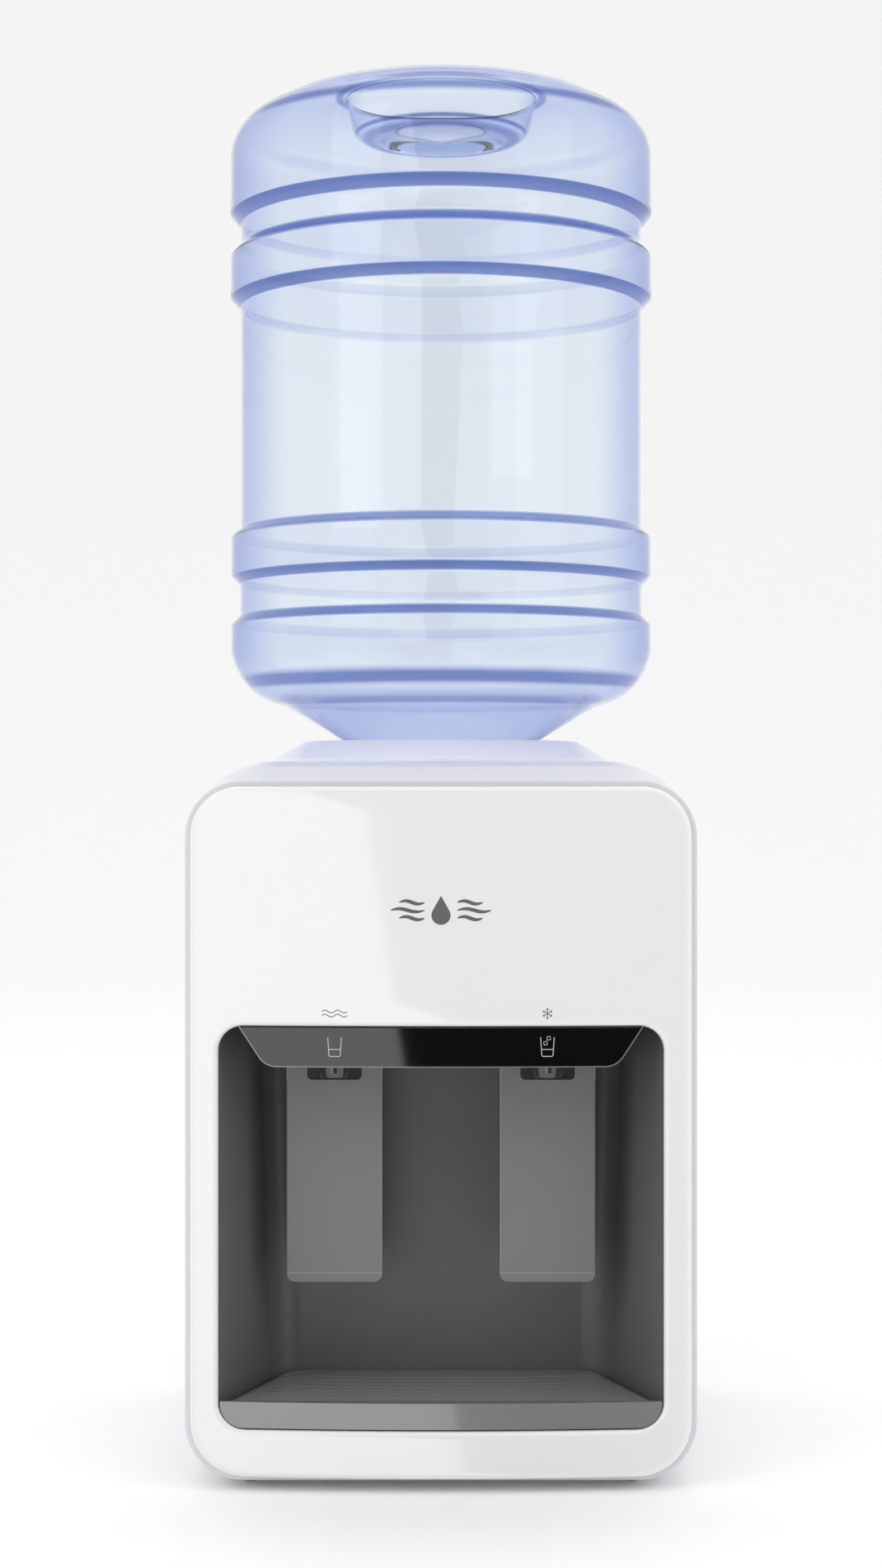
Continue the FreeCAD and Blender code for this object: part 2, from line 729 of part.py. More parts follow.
def make_valve_bonnet(word, side):
    """Cap of the valve that guides the stem and holds the spring down."""
    made = body("valve_bonnet_" + word)
    guide = S.stem_radius + 0.06
    revolve(made, [(7.5, S.valve_top), (S.valve_radius, S.valve_top), (S.valve_radius, S.valve_top + 2.5),
                   (9.5, S.valve_top + 2.5), (9.5, S.bonnet_top, 1.0), (guide, S.bonnet_top),
                   (guide, S.bonnet_top - 2), (7.5, S.bonnet_top - 2)])
    place(made, S.outlet_offset * side, S.outlet_depth)
    return keep(made)


def make_valve_stem(word, side):
    """Plunger on the seat, a collar for the spring, and the flange that the fork lifts."""
    made = body("valve_stem_" + word)
    rod = S.stem_radius
    seat = S.valve_base + 5.7
    flange = S.fork_height + S.fork_radius + 0.25
    revolve(made, [(0, seat), (4.5, seat), (4.5, seat + 2.3), (rod, seat + 2.3), (rod, S.valve_top - 1),
                   (6.5, S.valve_top - 1), (6.5, S.valve_top + 0.5), (rod, S.valve_top + 0.5), (rod, flange),
                   (7.0, flange), (7.0, flange + 2), (0, flange + 2)])
    place(made, S.outlet_offset * side, S.outlet_depth)
    return keep(made)


def make_nozzle(word, side):
    """Dark outlet tube below the valve, with a ring around its tip."""
    made = body("nozzle_" + word)
    revolve(made, [(4.0, S.nozzle_tip), (8.2, S.nozzle_tip, 0.8), (9.0, S.nozzle_tip + 3),
                   (9.0, S.valve_base - 0.3), (6.08, S.valve_base - 0.3), (6.08, S.valve_base - 5.7),
                   (4.0, S.valve_base - 5.7)])
    place(made, S.outlet_offset * side, S.outlet_depth)
    return keep(made)


def coil(name, radius, wire, low, high, turns, x=0, y=0, angle=0):
    """Round wire or tube wound about a vertical axis; its own sizes are read from the sheet once."""
    height = number_of(high) - number_of(low)
    path = Part.makeHelix(height / turns, height, number_of(radius))
    start = FreeCAD.Vector(number_of(radius), 0, 0)
    section = Part.Wire(Part.makeCircle(number_of(wire), start, FreeCAD.Vector(0, 1, 0)))
    made = doc.addObject("Part::Feature", name)
    made.Shape = Part.Wire(path.Edges).makePipeShell([section], True, True)
    place(made, x, y, low, (0, 0, 1), angle)
    return keep(made, name)


def make_valve_spring(word, side):
    coil("valve_spring_" + word, 4.9, 0.55, S.valve_top + 1.2, S.bonnet_top - 2.7, 5,
         S.outlet_offset * side, S.outlet_depth)


def make_lever_pins():
    pins = [primitive("Cylinder", "lever_pin_" + word, S.outlet_offset * side - (S.lever_half_width + 4.5),
                      S.hinge_depth, S.hinge_height, (0, 1, 0), 90,
                      Radius=S.pin_radius, Height=S.lever_half_width * 2 + 9) for word, side in SIDES]
    group("lever_pins", pins)


def make_dispensing():
    for word, side in SIDES:
        make_lever(word, side)
        make_valve_body(word, side)
        make_valve_bonnet(word, side)
        make_valve_stem(word, side)
        make_valve_spring(word, side)
        make_nozzle(word, side)
    make_lever_pins()


# ---------------------------------------------------------------------------------------
# Drip tray
# ---------------------------------------------------------------------------------------

def tray_plan(grow, front):
    """Plan of the basin: wide at the front, narrower at the back like the alcove."""
    back_half = S.alcove_back_half_width - 9
    return outline([(-S.tray_half_width + 3 - grow, front), (S.tray_half_width - 3 + grow, front),
                    (back_half + grow, S.alcove_back - 3 + grow, 20.0 + grow),
                    (-back_half - grow, S.alcove_back - 3 + grow, 20.0 + grow)])


def make_drip_tray():
    """Basin with a bowed lip; it slides out of the alcove towards the front."""
    made = body("drip_tray")
    low = S.tray_bottom
    basin_front = S.housing_front - 4.5
    apex = S.panel_apex + 1.5
    add(made, "XY", low, S.tray_lip_top, bowed(S.panel_half_width, apex, S.panel_bow, basin_front - 0.1))
    lip = rectangle(-S.tray_half_width, S.tray_half_width, low, S.tray_lip_top, S.tray_round, 0.5)
    cut(made, "XZ", -BEYOND, basin_front + 1, rectangle(-BEYOND, BEYOND, 0, BEYOND), lip)
    add(made, "XY", low, S.grille_top - 0.2, tray_plan(0.0, basin_front - 0.2))
    tall_lip = rectangle(-S.tray_half_width, S.tray_half_width, low, BEYOND, S.tray_round, 0.5)
    cut(made, "XZ", -BEYOND, BEYOND, rectangle(-BEYOND, BEYOND, 0, 2 * BEYOND), tall_lip)
    cut(made, "XY", low + 8, S.tray_lip_top, tray_plan(-2.0, basin_front + 2))
    cut(made, "XY", low + 2, low + 9, tray_plan(-11.0, basin_front + 11))
    return keep(made)


def make_drip_grille():
    """Plate over the basin with bowed grooves across it and a drain hole near each corner."""
    made = body("drip_grille")
    low, high = S.grille_top - 2.6, S.grille_top - 0.2
    add(made, "XY", low, high, tray_plan(-2.4, S.housing_front - 2.1))
    pitch, groove_bow, groove_width = 10.0, 6.0, 2.4
    side_taper, rim = 0.3, 12.0
    rows = [-134.0 + pitch * step for step in range(7)]
    for depth in rows:
        reach = S.alcove_half_width.number - (depth - S.housing_front.number) * side_taper - rim
        cut(made, "XY", high - 0.8, high + 1, groove_loop(reach, depth, groove_bow, groove_width))
    corners = [(x, -144.0) for x in (-64.5, 64.5)] + [(x, -63.0) for x in (-66, 66)]
    cut(made, "XY", low - 1, high + 1, *[circle(x, y, 1.2) for x, y in corners])
    spots = [(x, -138.0) for x in (-100, 0, 100)] + [(x, -70.0) for x in (-70, 0, 70)]
    add(made, "XY", S.tray_bottom + 2, low + 0.2,
        *[rectangle(x - 3.0, x + 3.0, y - 3.0, y + 3.0, 1.0, 1.0) for x, y in spots])
    return keep(made)


def groove_loop(half_width, depth, bow, width):
    """A narrow bowed band across the grille, bowed to the front like the panel."""
    def draw(sketch):
        bands = []
        for offset in (0, width):
            left = FreeCAD.Vector(-half_width, depth + offset, 0)
            right = FreeCAD.Vector(half_width, depth + offset, 0)
            nose = FreeCAD.Vector(0, depth + offset - bow, 0)
            bands.append(Part.Arc(left, nose, right))
        first = sketch.GeometryCount
        sketch.addGeometry(bands, False)
        for end in (-half_width, half_width):
            sketch.addGeometry(Part.LineSegment(FreeCAD.Vector(end, depth, 0),
                                                FreeCAD.Vector(end, depth + width, 0)), False)
        held = []
        for band in (first, first + 1):
            held += pinned(band, 1, -half_width, depth + (band - first) * width)
            held += pinned(band, 2, half_width, depth + (band - first) * width)
            radius = (half_width ** 2 + bow ** 2) / (2 * bow)
            held.append((Sketcher.Constraint("Radius", band, radius), None))
        for side, end in ((first + 2, 1), (first + 3, 2)):
            held.append((Sketcher.Constraint("Coincident", side, 1, first, end), None))
            held.append((Sketcher.Constraint("Coincident", side, 2, first + 1, end), None))
        add_constraints(sketch, held)
    return draw


# ---------------------------------------------------------------------------------------
# Bottle and its collar
# ---------------------------------------------------------------------------------------

CONE_SLOPE = (S.cone_seat - S.cone_bottom) / (S.cone_seat_radius - S.neck_radius)


def inset(corners, amount):
    """The same outline, pulled in by an amount along the mitre of each inner corner."""
    moved = []
    for i in range(1, len(corners) - 1):
        before, here, after = [FreeCAD.Vector(number_of(corner[0]), number_of(corner[1]), 0)
                               for corner in corners[i - 1:i + 2]]
        first = (here - before).normalize()
        second = (after - here).normalize()
        first_side = FreeCAD.Vector(-first.y, first.x, 0)
        second_side = FreeCAD.Vector(-second.y, second.x, 0)
        mitre = (first_side + second_side) * (1 / (1 + first_side.dot(second_side)))
        turn = first.cross(second).z
        spot = (corners[i][0] + mitre.x * amount, corners[i][1] + mitre.y * amount)
        if len(corners[i]) == 3:
            change = -number_of(amount) if turn > 0 else number_of(amount)
            spot += (max(corners[i][2] + change, 1.0),)
        moved.append(spot)
    return moved


def bottle_profile():
    """Outer half section, from the open neck at the bottom up to the base, which is pushed in."""
    groove, waist, full = S.bottle_groove_radius, S.bottle_body_radius, S.bottle_radius
    rib = full - 0.3
    top = S.bottle_top
    knee = 99.0
    floor = top - S.base_indent
    neck_and_shoulder = [(S.neck_radius, S.neck_bottom), (S.neck_radius, S.cone_bottom, 4.0),
                         (knee, S.cone_bottom + CONE_SLOPE * (knee - S.neck_radius), 14.0),
                         (126.4, 473.2, 44.0)]
    lower_ribs = [(rib, 500.0, 2.0), (rib, 517.5, 4.0), (groove, 524.0, 4.0),
                  (groove, 543.0, 4.0), (rib, 549.0, 4.0), (rib, 573.5, 4.0)]
    upper_ribs = [(waist, 579.5, 4.0), (waist, 719.5, 4.0), (full, 727.0, 4.0), (full, 752.5, 4.0),
                  (waist, 759.5, 4.0), (waist, 772.0, 4.0), (full, 780.5, 4.0)]
    dome = [(full, top - 25, 31.0), (93.0, top, 85.0), (S.base_rim_radius, top, 5.0),
            (S.base_floor_radius, floor, 9.0), (0, floor - 2)]
    return neck_and_shoulder + lower_ribs + upper_ribs + dome


def make_water_bottle():
    """Thin-walled 20 litre bottle standing on its head, its neck open at the bottom."""
    made = body("water_bottle")
    outer = bottle_profile()
    revolve(made, outer + [(0, S.neck_bottom)])
    inner = inset(outer, S.bottle_wall)
    throat = S.neck_radius - S.bottle_wall
    revolve(made, [(throat, S.neck_bottom - 1)] + inner
            + [(0, outer[-1][1] - S.bottle_wall), (0, S.neck_bottom - 1)], "Groove")
    return keep(made)


def make_bottle_cap():
    """Snap cap on the neck with the hole that the spike has opened."""
    made = body("bottle_cap")
    inner = S.neck_radius + 0.05
    low = S.neck_bottom - 1.6
    hole = S.cap_hole_radius
    revolve(made, [(hole, low), (inner + 2, low, 0.8), (inner + 2, low + 25), (inner, low + 25),
                   (inner, S.neck_bottom), (hole, S.neck_bottom)])
    return keep(made)


def make_bottle_collar():
    """White ring on the deck: a funnel for the bottle's shoulder, a socket for its neck, a skirt below."""
    made = body("bottle_collar")
    gap = 0.46
    rim = S.cone_bottom - gap
    socket = S.socket_radius
    mouth = S.neck_radius + (S.collar_top - rim) / CONE_SLOPE
    throat = rim + (socket - S.neck_radius) * CONE_SLOPE
    deck = S.deck_height + 0.2
    under = S.collar_top - 3.2
    skirt, skirt_low = 70.0, 402.0
    revolve(made, [(S.collar_radius, deck), (S.collar_radius, deck + 2.2, 1.0),
                   (S.collar_top_radius, S.collar_top, 2.0), (mouth, S.collar_top), (socket, throat),
                   (socket, S.socket_bottom), (socket + 2.5, S.socket_bottom), (socket + 2.5, throat - 2),
                   (skirt - 8.5, under), (skirt, under), (skirt, skirt_low), (skirt + 3, skirt_low),
                   (skirt + 3, under), (S.collar_top_radius - 1.2, under), (S.collar_radius - 3, deck)])
    return keep(made)


def make_collar_gasket():
    """Soft ring on the skirt that wipes the inside of the tank."""
    made = body("collar_gasket")
    low, skirt = 403.5, 73.0
    add(made, "XY", low, low + 3, circle(0, 0, S.tank_radius - S.tank_wall - 0.3), circle(0, 0, skirt))
    return keep(made)


def make_piercing_spike():
    """Hollow spike on four arms in the bottom of the socket; it opens the cap."""
    made = body("piercing_spike")
    low = S.socket_bottom
    tube = S.spike_radius
    bore = tube - 2
    tip = low + 42
    revolve(made, [(bore, low), (tube, low), (tube, tip - 8), (1.5, tip, 1.0), (0, tip), (0, tip - 4),
                   (bore, tip - 11)])
    reach = S.socket_radius - 0.5
    arm_half, arm_thick = 2.0, 4.0
    add(made, "XY", low, low + arm_thick, rectangle(-reach, reach, -arm_half, arm_half))
    add(made, "XY", low, low + arm_thick, rectangle(-arm_half, arm_half, -reach, reach))
    cut(made, "XZ", -tube - 1, tube + 1, rectangle(-2.0, 2.0, low + 12, tip - 13, 1.8, 1.8))
    return keep(made)


def make_bottle_and_collar():
    make_bottle_collar()
    make_collar_gasket()
    make_piercing_spike()
    make_water_bottle()
    make_bottle_cap()


# ---------------------------------------------------------------------------------------
# Cold tank and its hoses
# ---------------------------------------------------------------------------------------

PORT_HEIGHTS = {"cold": 305.0, "natural": 356.0}
DRAIN_DEPTH = 62.0


def bent_tube(name, points, bend, radius, bore=0.0):
    """Tube along straight runs joined by arcs of one bend radius; a bore makes it hollow."""
    spots = [FreeCAD.Vector(*[number_of(value) for value in point]) for point in points]
    edges = []
    start = spots[0]
    for before, corner, after in zip(spots, spots[1:], spots[2:]):
        inward = (before - corner).normalize()
        outward = (after - corner).normalize()
        half = inward.getAngle(outward) / 2
        entry = corner + inward * (bend / math.tan(half))
        leave = corner + outward * (bend / math.tan(half))
        nearest = corner + (inward + outward).normalize() * (bend / math.sin(half) - bend)
        edges.append(Part.LineSegment(start, entry).toShape())
        edges.append(Part.Arc(entry, nearest, leave).toShape())
        start = leave
    edges.append(Part.LineSegment(start, spots[-1]).toShape())
    path = Part.Wire(edges)
    direction = spots[1] - spots[0]

    def pipe(size):
        section = Part.Wire(Part.makeCircle(number_of(size), spots[0], direction))
        return path.makePipeShell([section], True, False)

    shape = pipe(radius)
    if number_of(bore) > 0:
        shape = shape.cut(pipe(bore))
    made = doc.addObject("Part::Feature", name)
    made.Shape = shape
    return made


def make_cold_tank():
    """Open-topped steel tank with two outlet stubs at the front and a drain stub below."""
    made = body("cold_tank")
    outer, inner = S.tank_radius, S.tank_radius - S.tank_wall
    floor = S.tank_bottom + S.tank_wall
    revolve(made, [(0, S.tank_bottom), (outer, S.tank_bottom, 4.0), (outer, S.tank_top), (inner, S.tank_top),
                   (inner, floor, 3.0), (0, floor)])
    for word, side in SIDES:
        height = PORT_HEIGHTS[word]
        add(made, "XZ", -70.0, -42.5, circle(S.outlet_offset * side, height, S.stub_radius))
        cut(made, "XZ", -71.0, -40.0, circle(S.outlet_offset * side, height, S.stub_bore))
    add(made, "XY", S.tank_bottom - 10, S.tank_bottom + 0.5, circle(0, DRAIN_DEPTH, S.stub_radius))
    cut(made, "XY", S.tank_bottom - 11, floor + 1, circle(0, DRAIN_DEPTH, S.stub_bore))
    return keep(made)


def make_insulation(word, side):
    """Half shell of foam around the tank and its coil."""
    made = body("insulation_" + word)
    low, high = S.tank_bottom - 6, S.tank_top - 36
    floor = S.tank_bottom - 0.2
    revolve(made, [(0, low), (S.insulation_outer, low, 6.0), (S.insulation_outer, high),
                   (S.insulation_inner, high), (S.insulation_inner, floor), (0, floor)])
    seam = 0.15 * side
    start, end = (-BEYOND, seam) if side > 0 else (seam, BEYOND)
    cut(made, "YZ", start, end, rectangle(-BEYOND, BEYOND, 0, 2 * BEYOND))
    spout = "natural" if side < 0 else "cold"
    clamp_room, drain_room = 9.6, 5.6
    cut(made, "XZ", -BEYOND, -50.0, circle(S.outlet_offset * side, PORT_HEIGHTS[spout], clamp_room))
    cut(made, "XY", low - 1, S.tank_bottom, circle(0, DRAIN_DEPTH, drain_room))
    cut(made, "XZ", 70.0, BEYOND, rectangle(-5.0, 5.0, 308.0, 354.0))
    return keep(made)


def make_separator_disc():
    """Disc that keeps the chilled water below apart from the fresh water above."""
    made = body("separator_disc")
    low, high = 322.0, 349.0
    tube, bore = 9.0, 7.0
    ports = [circle(40 * math.cos(turn), 40 * math.sin(turn), 6.0)
             for turn in (0.0, 2 * math.pi / 3, 4 * math.pi / 3)]
    add(made, "XY", high - 2, high, circle(0, 0, S.tank_radius - S.tank_wall - 0.4), *ports)
    add(made, "XY", low, high - 1, circle(0, 0, tube), circle(0, 0, bore))
    cut(made, "XY", low - 1, high + 1, circle(0, 0, bore))
    return keep(made)


def make_tank_shelf():
    """Folded steel shelf between the housing's sides that the tank and its foam stand on."""
    made = body("tank_shelf")
    half = S.body_half_width - S.wall - 0.3
    high = S.tank_bottom - 6.2
    add(made, "XY", high - 2, high, rectangle(-half, half, -72.0, 108.0, 2.0, 2.0))
    for start, end in ((-half, -half + 2), (half - 2, half)):
        add(made, "YZ", start, end, rectangle(-70.0, 106.0, high - 1, high + 20, None, 3.0))
    cut(made, "XY", high - 3, high + 1, circle(0, DRAIN_DEPTH, 6.0),
        *[circle(x, y, 8.0) for x in (-120, 120) for y in (-40, 80)])
    return keep(made)


def make_hoses():
    """Soft hoses from the tank's stubs to the valves' barbs, each with two spring clamps."""
    rise = -84.0
    inlet = S.outlet_depth + 13.0
    clamps = []
    for word, side in SIDES:
        x = S.outlet_offset * side
        top = PORT_HEIGHTS[word]
        hose = bent_tube("hose_" + word, [(x, inlet, S.inlet_height), (x, rise, S.inlet_height),
                                          (x, rise, top), (x, -61.0, top)], 8.0, S.hose_radius, S.hose_bore)
        keep(hose, "hose_" + word)
        clamps.append(hose_clamp("clamp_low_" + word, x, inlet + 1.0, S.inlet_height))
        clamps.append(hose_clamp("clamp_high_" + word, x, -76.6, top))
    group("hose_clamps", clamps)


def hose_clamp(name, x, y, z):
    """Narrow band around a hose that runs front to back."""
    made = body(name)
    add(made, "XZ", 0.0, 4.0, circle(0, 0, S.hose_radius + 0.9), circle(0, 0, S.hose_radius + 0.05))
    add(made, "XZ", 0.0, 4.0, rectangle(-2.0, 2.0, 5.4, 9.0, None, 1.0))
    return place(made, x, y, z)


def make_drain():
    """Drain hose down the back to a threaded spout through the rear panel, closed by a cap."""
    wall_back = S.housing_back - 0.5
    drop = 136.0
    level = 262.0
    hose = bent_tube("drain_hose", [(0, DRAIN_DEPTH, S.tank_bottom - 7), (0, DRAIN_DEPTH, level),
                                    (0, drop, level), (0, drop, 58.0)], 12.0, S.hose_radius, S.hose_bore)
    keep(hose, "drain_hose")
    spout = body("drain_spout")
    add(spout, "XZ", drop - 8, wall_back + 12, circle(0, SPOUT_Z, 6.5))
    add(spout, "XZ", wall_back - 6.5, wall_back - 2.5, circle(0, SPOUT_Z, 11.0))
    add(spout, "XY", SPOUT_Z, 66.0, circle(0, drop, S.stub_radius))
    cut(spout, "XZ", drop - 4, wall_back + 13, circle(0, SPOUT_Z, 3.6))
    cut(spout, "XY", SPOUT_Z, 67.0, circle(0, drop, S.stub_bore))
    keep(spout)
    cap = body("drain_cap")
    add(cap, "XZ", wall_back + 1.0, wall_back + 13.8, circle(0, SPOUT_Z, 9.0))
    cut(cap, "XZ", wall_back, wall_back + 12.3, circle(0, SPOUT_Z, 6.8))
    cut(cap, "XZ", wall_back + 3, wall_back + 15, *around(0, SPOUT_Z, 9.4, 1.2, range(0, 360, 30)))
    keep(cap)


def make_water_circuit():
    make_cold_tank()
    make_separator_disc()
    make_insulation("left", -1)
    make_insulation("right", 1)
    coil("evaporator_coil", S.tank_radius + 0.3 + S.coil_tube_radius, S.coil_tube_radius, 315.0, 345.0, 4.5,
         angle=-90)
    make_tank_shelf()
    make_hoses()
    make_drain()


# ---------------------------------------------------------------------------------------
# Refrigeration and electrics
# ---------------------------------------------------------------------------------------

def make_compressor_shells():
    """Deep-drawn steel shells: a lower bowl on its foot plate, and an upper dome."""
    radius = S.compressor_radius
    seam = 92.0
    wall = 3.0
    lower = body("compressor_lower_shell")
    low, top = S.compressor_bottom, S.compressor_top
    revolve(lower, [(0, low), (radius, low, 24.0), (radius, seam), (radius - wall, seam),
                    (radius - wall, low + wall, 21.0), (0, low + wall)])
    add(lower, "XY", low - 3, low + 0.5, rectangle(-76.0, 76.0, -52.0, 52.0, 8.0, 8.0))
    cut(lower, "XY", low - 4, low + 1, *[circle(x, y, 5.1) for x, y in FOOT_SPOTS])
    keep(place(lower, 0, S.compressor_depth))
    upper = body("compressor_upper_shell")
    revolve(upper, [(radius - wall, seam), (radius + 1.5, seam), (radius + 1.5, seam + 6),
                    (radius, seam + 7), (radius, top, 34.0), (0, top), (0, top - wall),
                    (radius - wall, top - wall, 31.0)])
    keep(place(upper, 0, S.compressor_depth))


def make_pump_core():
    """Motor stack with its crankcase and cylinder, inside the shells."""
    made = body("pump_core")
    revolve(made, [(0, 46.0), (38.0, 46.0, 3.0), (38.0, 84.0), (26.0, 84.0), (26.0, 104.0), (12.0, 104.0),
                   (12.0, 124.0, 2.0), (0, 124.0)])
    add(made, "XZ", -40.0, 0.0, circle(0, 94.0, 12.0))
    keep(place(made, 0, S.compressor_depth))


def make_grommets_and_bolts():
    top = S.body_bottom + S.wall + 2.5
    low = S.compressor_bottom - 3
    grommets, bolts = [], []
    for x, y in FOOT_SPOTS:
        rubber = body("grommet")
        revolve(rubber, [(3.1, top), (9.0, top, 1.5), (9.0, low), (5.0, low), (5.0, low + 3.6),
                         (8.0, low + 3.6), (8.0, low + 7, 1.5), (3.1, low + 7)])
        depth = S.compressor_depth + y
        grommets.append(place(rubber, x, depth))
        bolts.append(screw("foot_bolt", x, depth, low + 7, (0, 0, 1), 0, 3.0, 22.0, 7.0))
    group("compressor_grommets", grommets)
    group("compressor_bolts", bolts)


def make_start_relay():
    made = body("start_relay_box")
    add(made, "XY", 66.0, 116.0, rectangle(61.8, 86.0, 30.0, 70.0, 3.0, 3.0))
    cut(made, "YZ", 84.5, 90.0, rectangle(38.0, 62.0, 72.0, 110.0, 2.0, 2.0))
    keep(made)


def make_condenser():
    """Serpentine tube across the back with vertical wires on it, held by four brackets."""
    radius = S.condenser_tube_radius
    wire_radius = 0.8
    wire_depth = -S.panel_apex.number - wire_radius
    depth = wire_depth - wire_radius - radius.number
    half, low, pitch, rows = 104.0, 112.0, 22.0, 12
    points = []
    for row in range(rows):
        ends = (-half, half) if row % 2 == 0 else (half, -half)
        points += [(ends[0], depth, low + pitch * row), (ends[1], depth, low + pitch * row)]
    bend = pitch / 2 - 0.01
    keep(bent_tube("condenser_tube", points, bend, radius), "condenser_tube")
    wires = []
    for x in range(-95, 105, 10):
        wires.append(primitive("Cylinder", "condenser_wire", x, wire_depth, low - 8,
                               Radius=wire_radius, Height=pitch * (rows - 1) + 16))
    group("condenser_wires", wires)
    back = S.housing_back - 0.5
    brackets = []
    for x in (-60, 60):
        for row in (1, rows - 2):
            height = low + pitch * row
            clip = body("condenser_clip")
            add(clip, "YZ", x - 4.0, x + 4.0,
                rectangle(back, depth + 1.5, height - 7.0, height + 7.0, 1.0, 1.0))
            cut(clip, "YZ", x - 5.0, x + 5.0, circle(depth, height, radius + 0.02))
            brackets.append(clip)
    group("condenser_brackets", brackets)


def make_refrigerant_lines():
    """Copper lines: discharge to the condenser, dryer and capillary to the coil, suction back down."""
    shell_top = S.compressor_top - 22
    keep(bent_tube("discharge_line", [(40, 100.0, shell_top - 40), (40, 128.0, shell_top - 40),
                                      (40, 128.0, 190.0), (96, 128.0, 190.0), (96, 128.0, 240.0)], 8.0, 2.5),
         "discharge_line")
    keep(bent_tube("suction_line", [(0, 86.5, 345.0), (0, 116.0, 345.0), (30, 116.0, 345.0),
                                    (30, 116.0, 120.0), (30, 105.0, 120.0)], 8.0, 3.0), "suction_line")
    dryer = body("filter_dryer")
    revolve(dryer, [(0, 150.0), (1.6, 150.0), (1.6, 156.0), (8.0, 163.0), (8.0, 217.0),
                    (2.6, 224.0), (2.6, 232.0), (0, 232.0)])
    keep(place(dryer, -96.0, 118.0))
    keep(bent_tube("capillary_line", [(-96, 118.0, 149.5), (-96, 118.0, 138.0), (-70, 118.0, 138.0),
                                      (-70, 118.0, 315.0), (-2, 118.0, 315.0), (-2, 86.5, 315.0)], 5.0, 1.1),
         "capillary_line")


def make_thermostat():
    """Thermostat on the rear panel with a spindle through it, and its knob outside."""
    back = S.housing_back - 0.5
    inside = back - 2.5
    box = body("thermostat")
    add(box, "XZ", inside - 26, inside,
        rectangle(KNOB_X - 16, KNOB_X + 16, KNOB_Z - 20, KNOB_Z + 20, 2.0, 2.0))
    add(box, "XZ", inside - 1, back + 11, circle(KNOB_X, KNOB_Z, 3.0))
    keep(box)
    knob = body("thermostat_knob")
    add(knob, "XZ", back + 1.0, back + 13.0, circle(KNOB_X, KNOB_Z, 11.0))
    cut(knob, "XZ", back, back + 11.3, circle(KNOB_X, KNOB_Z, 3.05))
    cut(knob, "XZ", back + 3, back + 14, *around(KNOB_X, KNOB_Z, 11.6, 1.5, range(15, 375, 30)))
    cut(knob, "XZ", back + 12.2, back + 14, rectangle(KNOB_X - 0.7, KNOB_X + 0.7, KNOB_Z + 4, KNOB_Z + 12))
    keep(knob)
    level = KNOB_Z - 14
    keep(bent_tube("sensor_line", [(KNOB_X - 10, inside - 26, level), (KNOB_X - 10, 112.0, level),
                                   (KNOB_X - 40, 100.0, level)], 4.0, 1.0), "sensor_line")


def make_electrics():
    """Cord gland in the rear panel, and the terminal block behind it on the base plate."""
    back = S.housing_back - 0.5
    gland = body("cord_gland")
    add(gland, "XZ", back - 12, back + 8, circle(GLAND_X, GLAND_Z, 7.9))
    add(gland, "XZ", back, back + 3, circle(GLAND_X, GLAND_Z, 11.5))
    add(gland, "XZ", back - 6.5, back - 2.5, circle(GLAND_X, GLAND_Z, 11.0))
    cut(gland, "XZ", back - 13, back + 9, circle(GLAND_X, GLAND_Z, 3.75))
    keep(gland)
    block = body("terminal_block")
    floor = S.body_bottom + S.wall + 2.5
    add(block, "XY", floor, floor + 18, rectangle(-126.0, -92.0, 96.0, 120.0, 1.5, 1.5))
    poles = [circle(x, y, 3.0) for x in (-118, -109, -100) for y in (103, 113)]
    cut(block, "XY", floor + 6, floor + 19, *poles)
    keep(block)


def make_refrigeration():
    make_compressor_shells()
    make_pump_core()
    make_grommets_and_bolts()
    make_start_relay()
    make_condenser()
    make_refrigerant_lines()
    make_thermostat()
    make_electrics()


def make_casing():
    make_main_housing()
    make_front_panel()
    make_alcove_liner()
    make_control_fascia()
    make_nozzle_hood()
    make_base_plate()
    make_rear_panel()
    make_feet()
    make_screws()


def write_parts():
    """Checks every object and sub-part, then writes one file per sub-part."""
    doc.recompute()
    failed = [thing.Name for thing in doc.Objects if "Invalid" in thing.State or "Error" in thing.State]
    if failed:
        raise RuntimeError("these objects failed: " + ", ".join(failed))
    os.makedirs("parts", exist_ok=True)
    for part in parts:
        if part.Shape.isNull() or not part.Shape.isValid():
            raise RuntimeError(part.Label + " has no valid shape")
    for part in parts:
        part.Shape.exportStep(os.path.join("parts", part.Label + ".step"))
    print("wrote %d parts" % len(parts))


make_casing()
make_dispensing()
make_drip_tray()
make_drip_grille()
make_bottle_and_collar()
make_water_circuit()
make_refrigeration()
write_parts()
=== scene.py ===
import json
import math

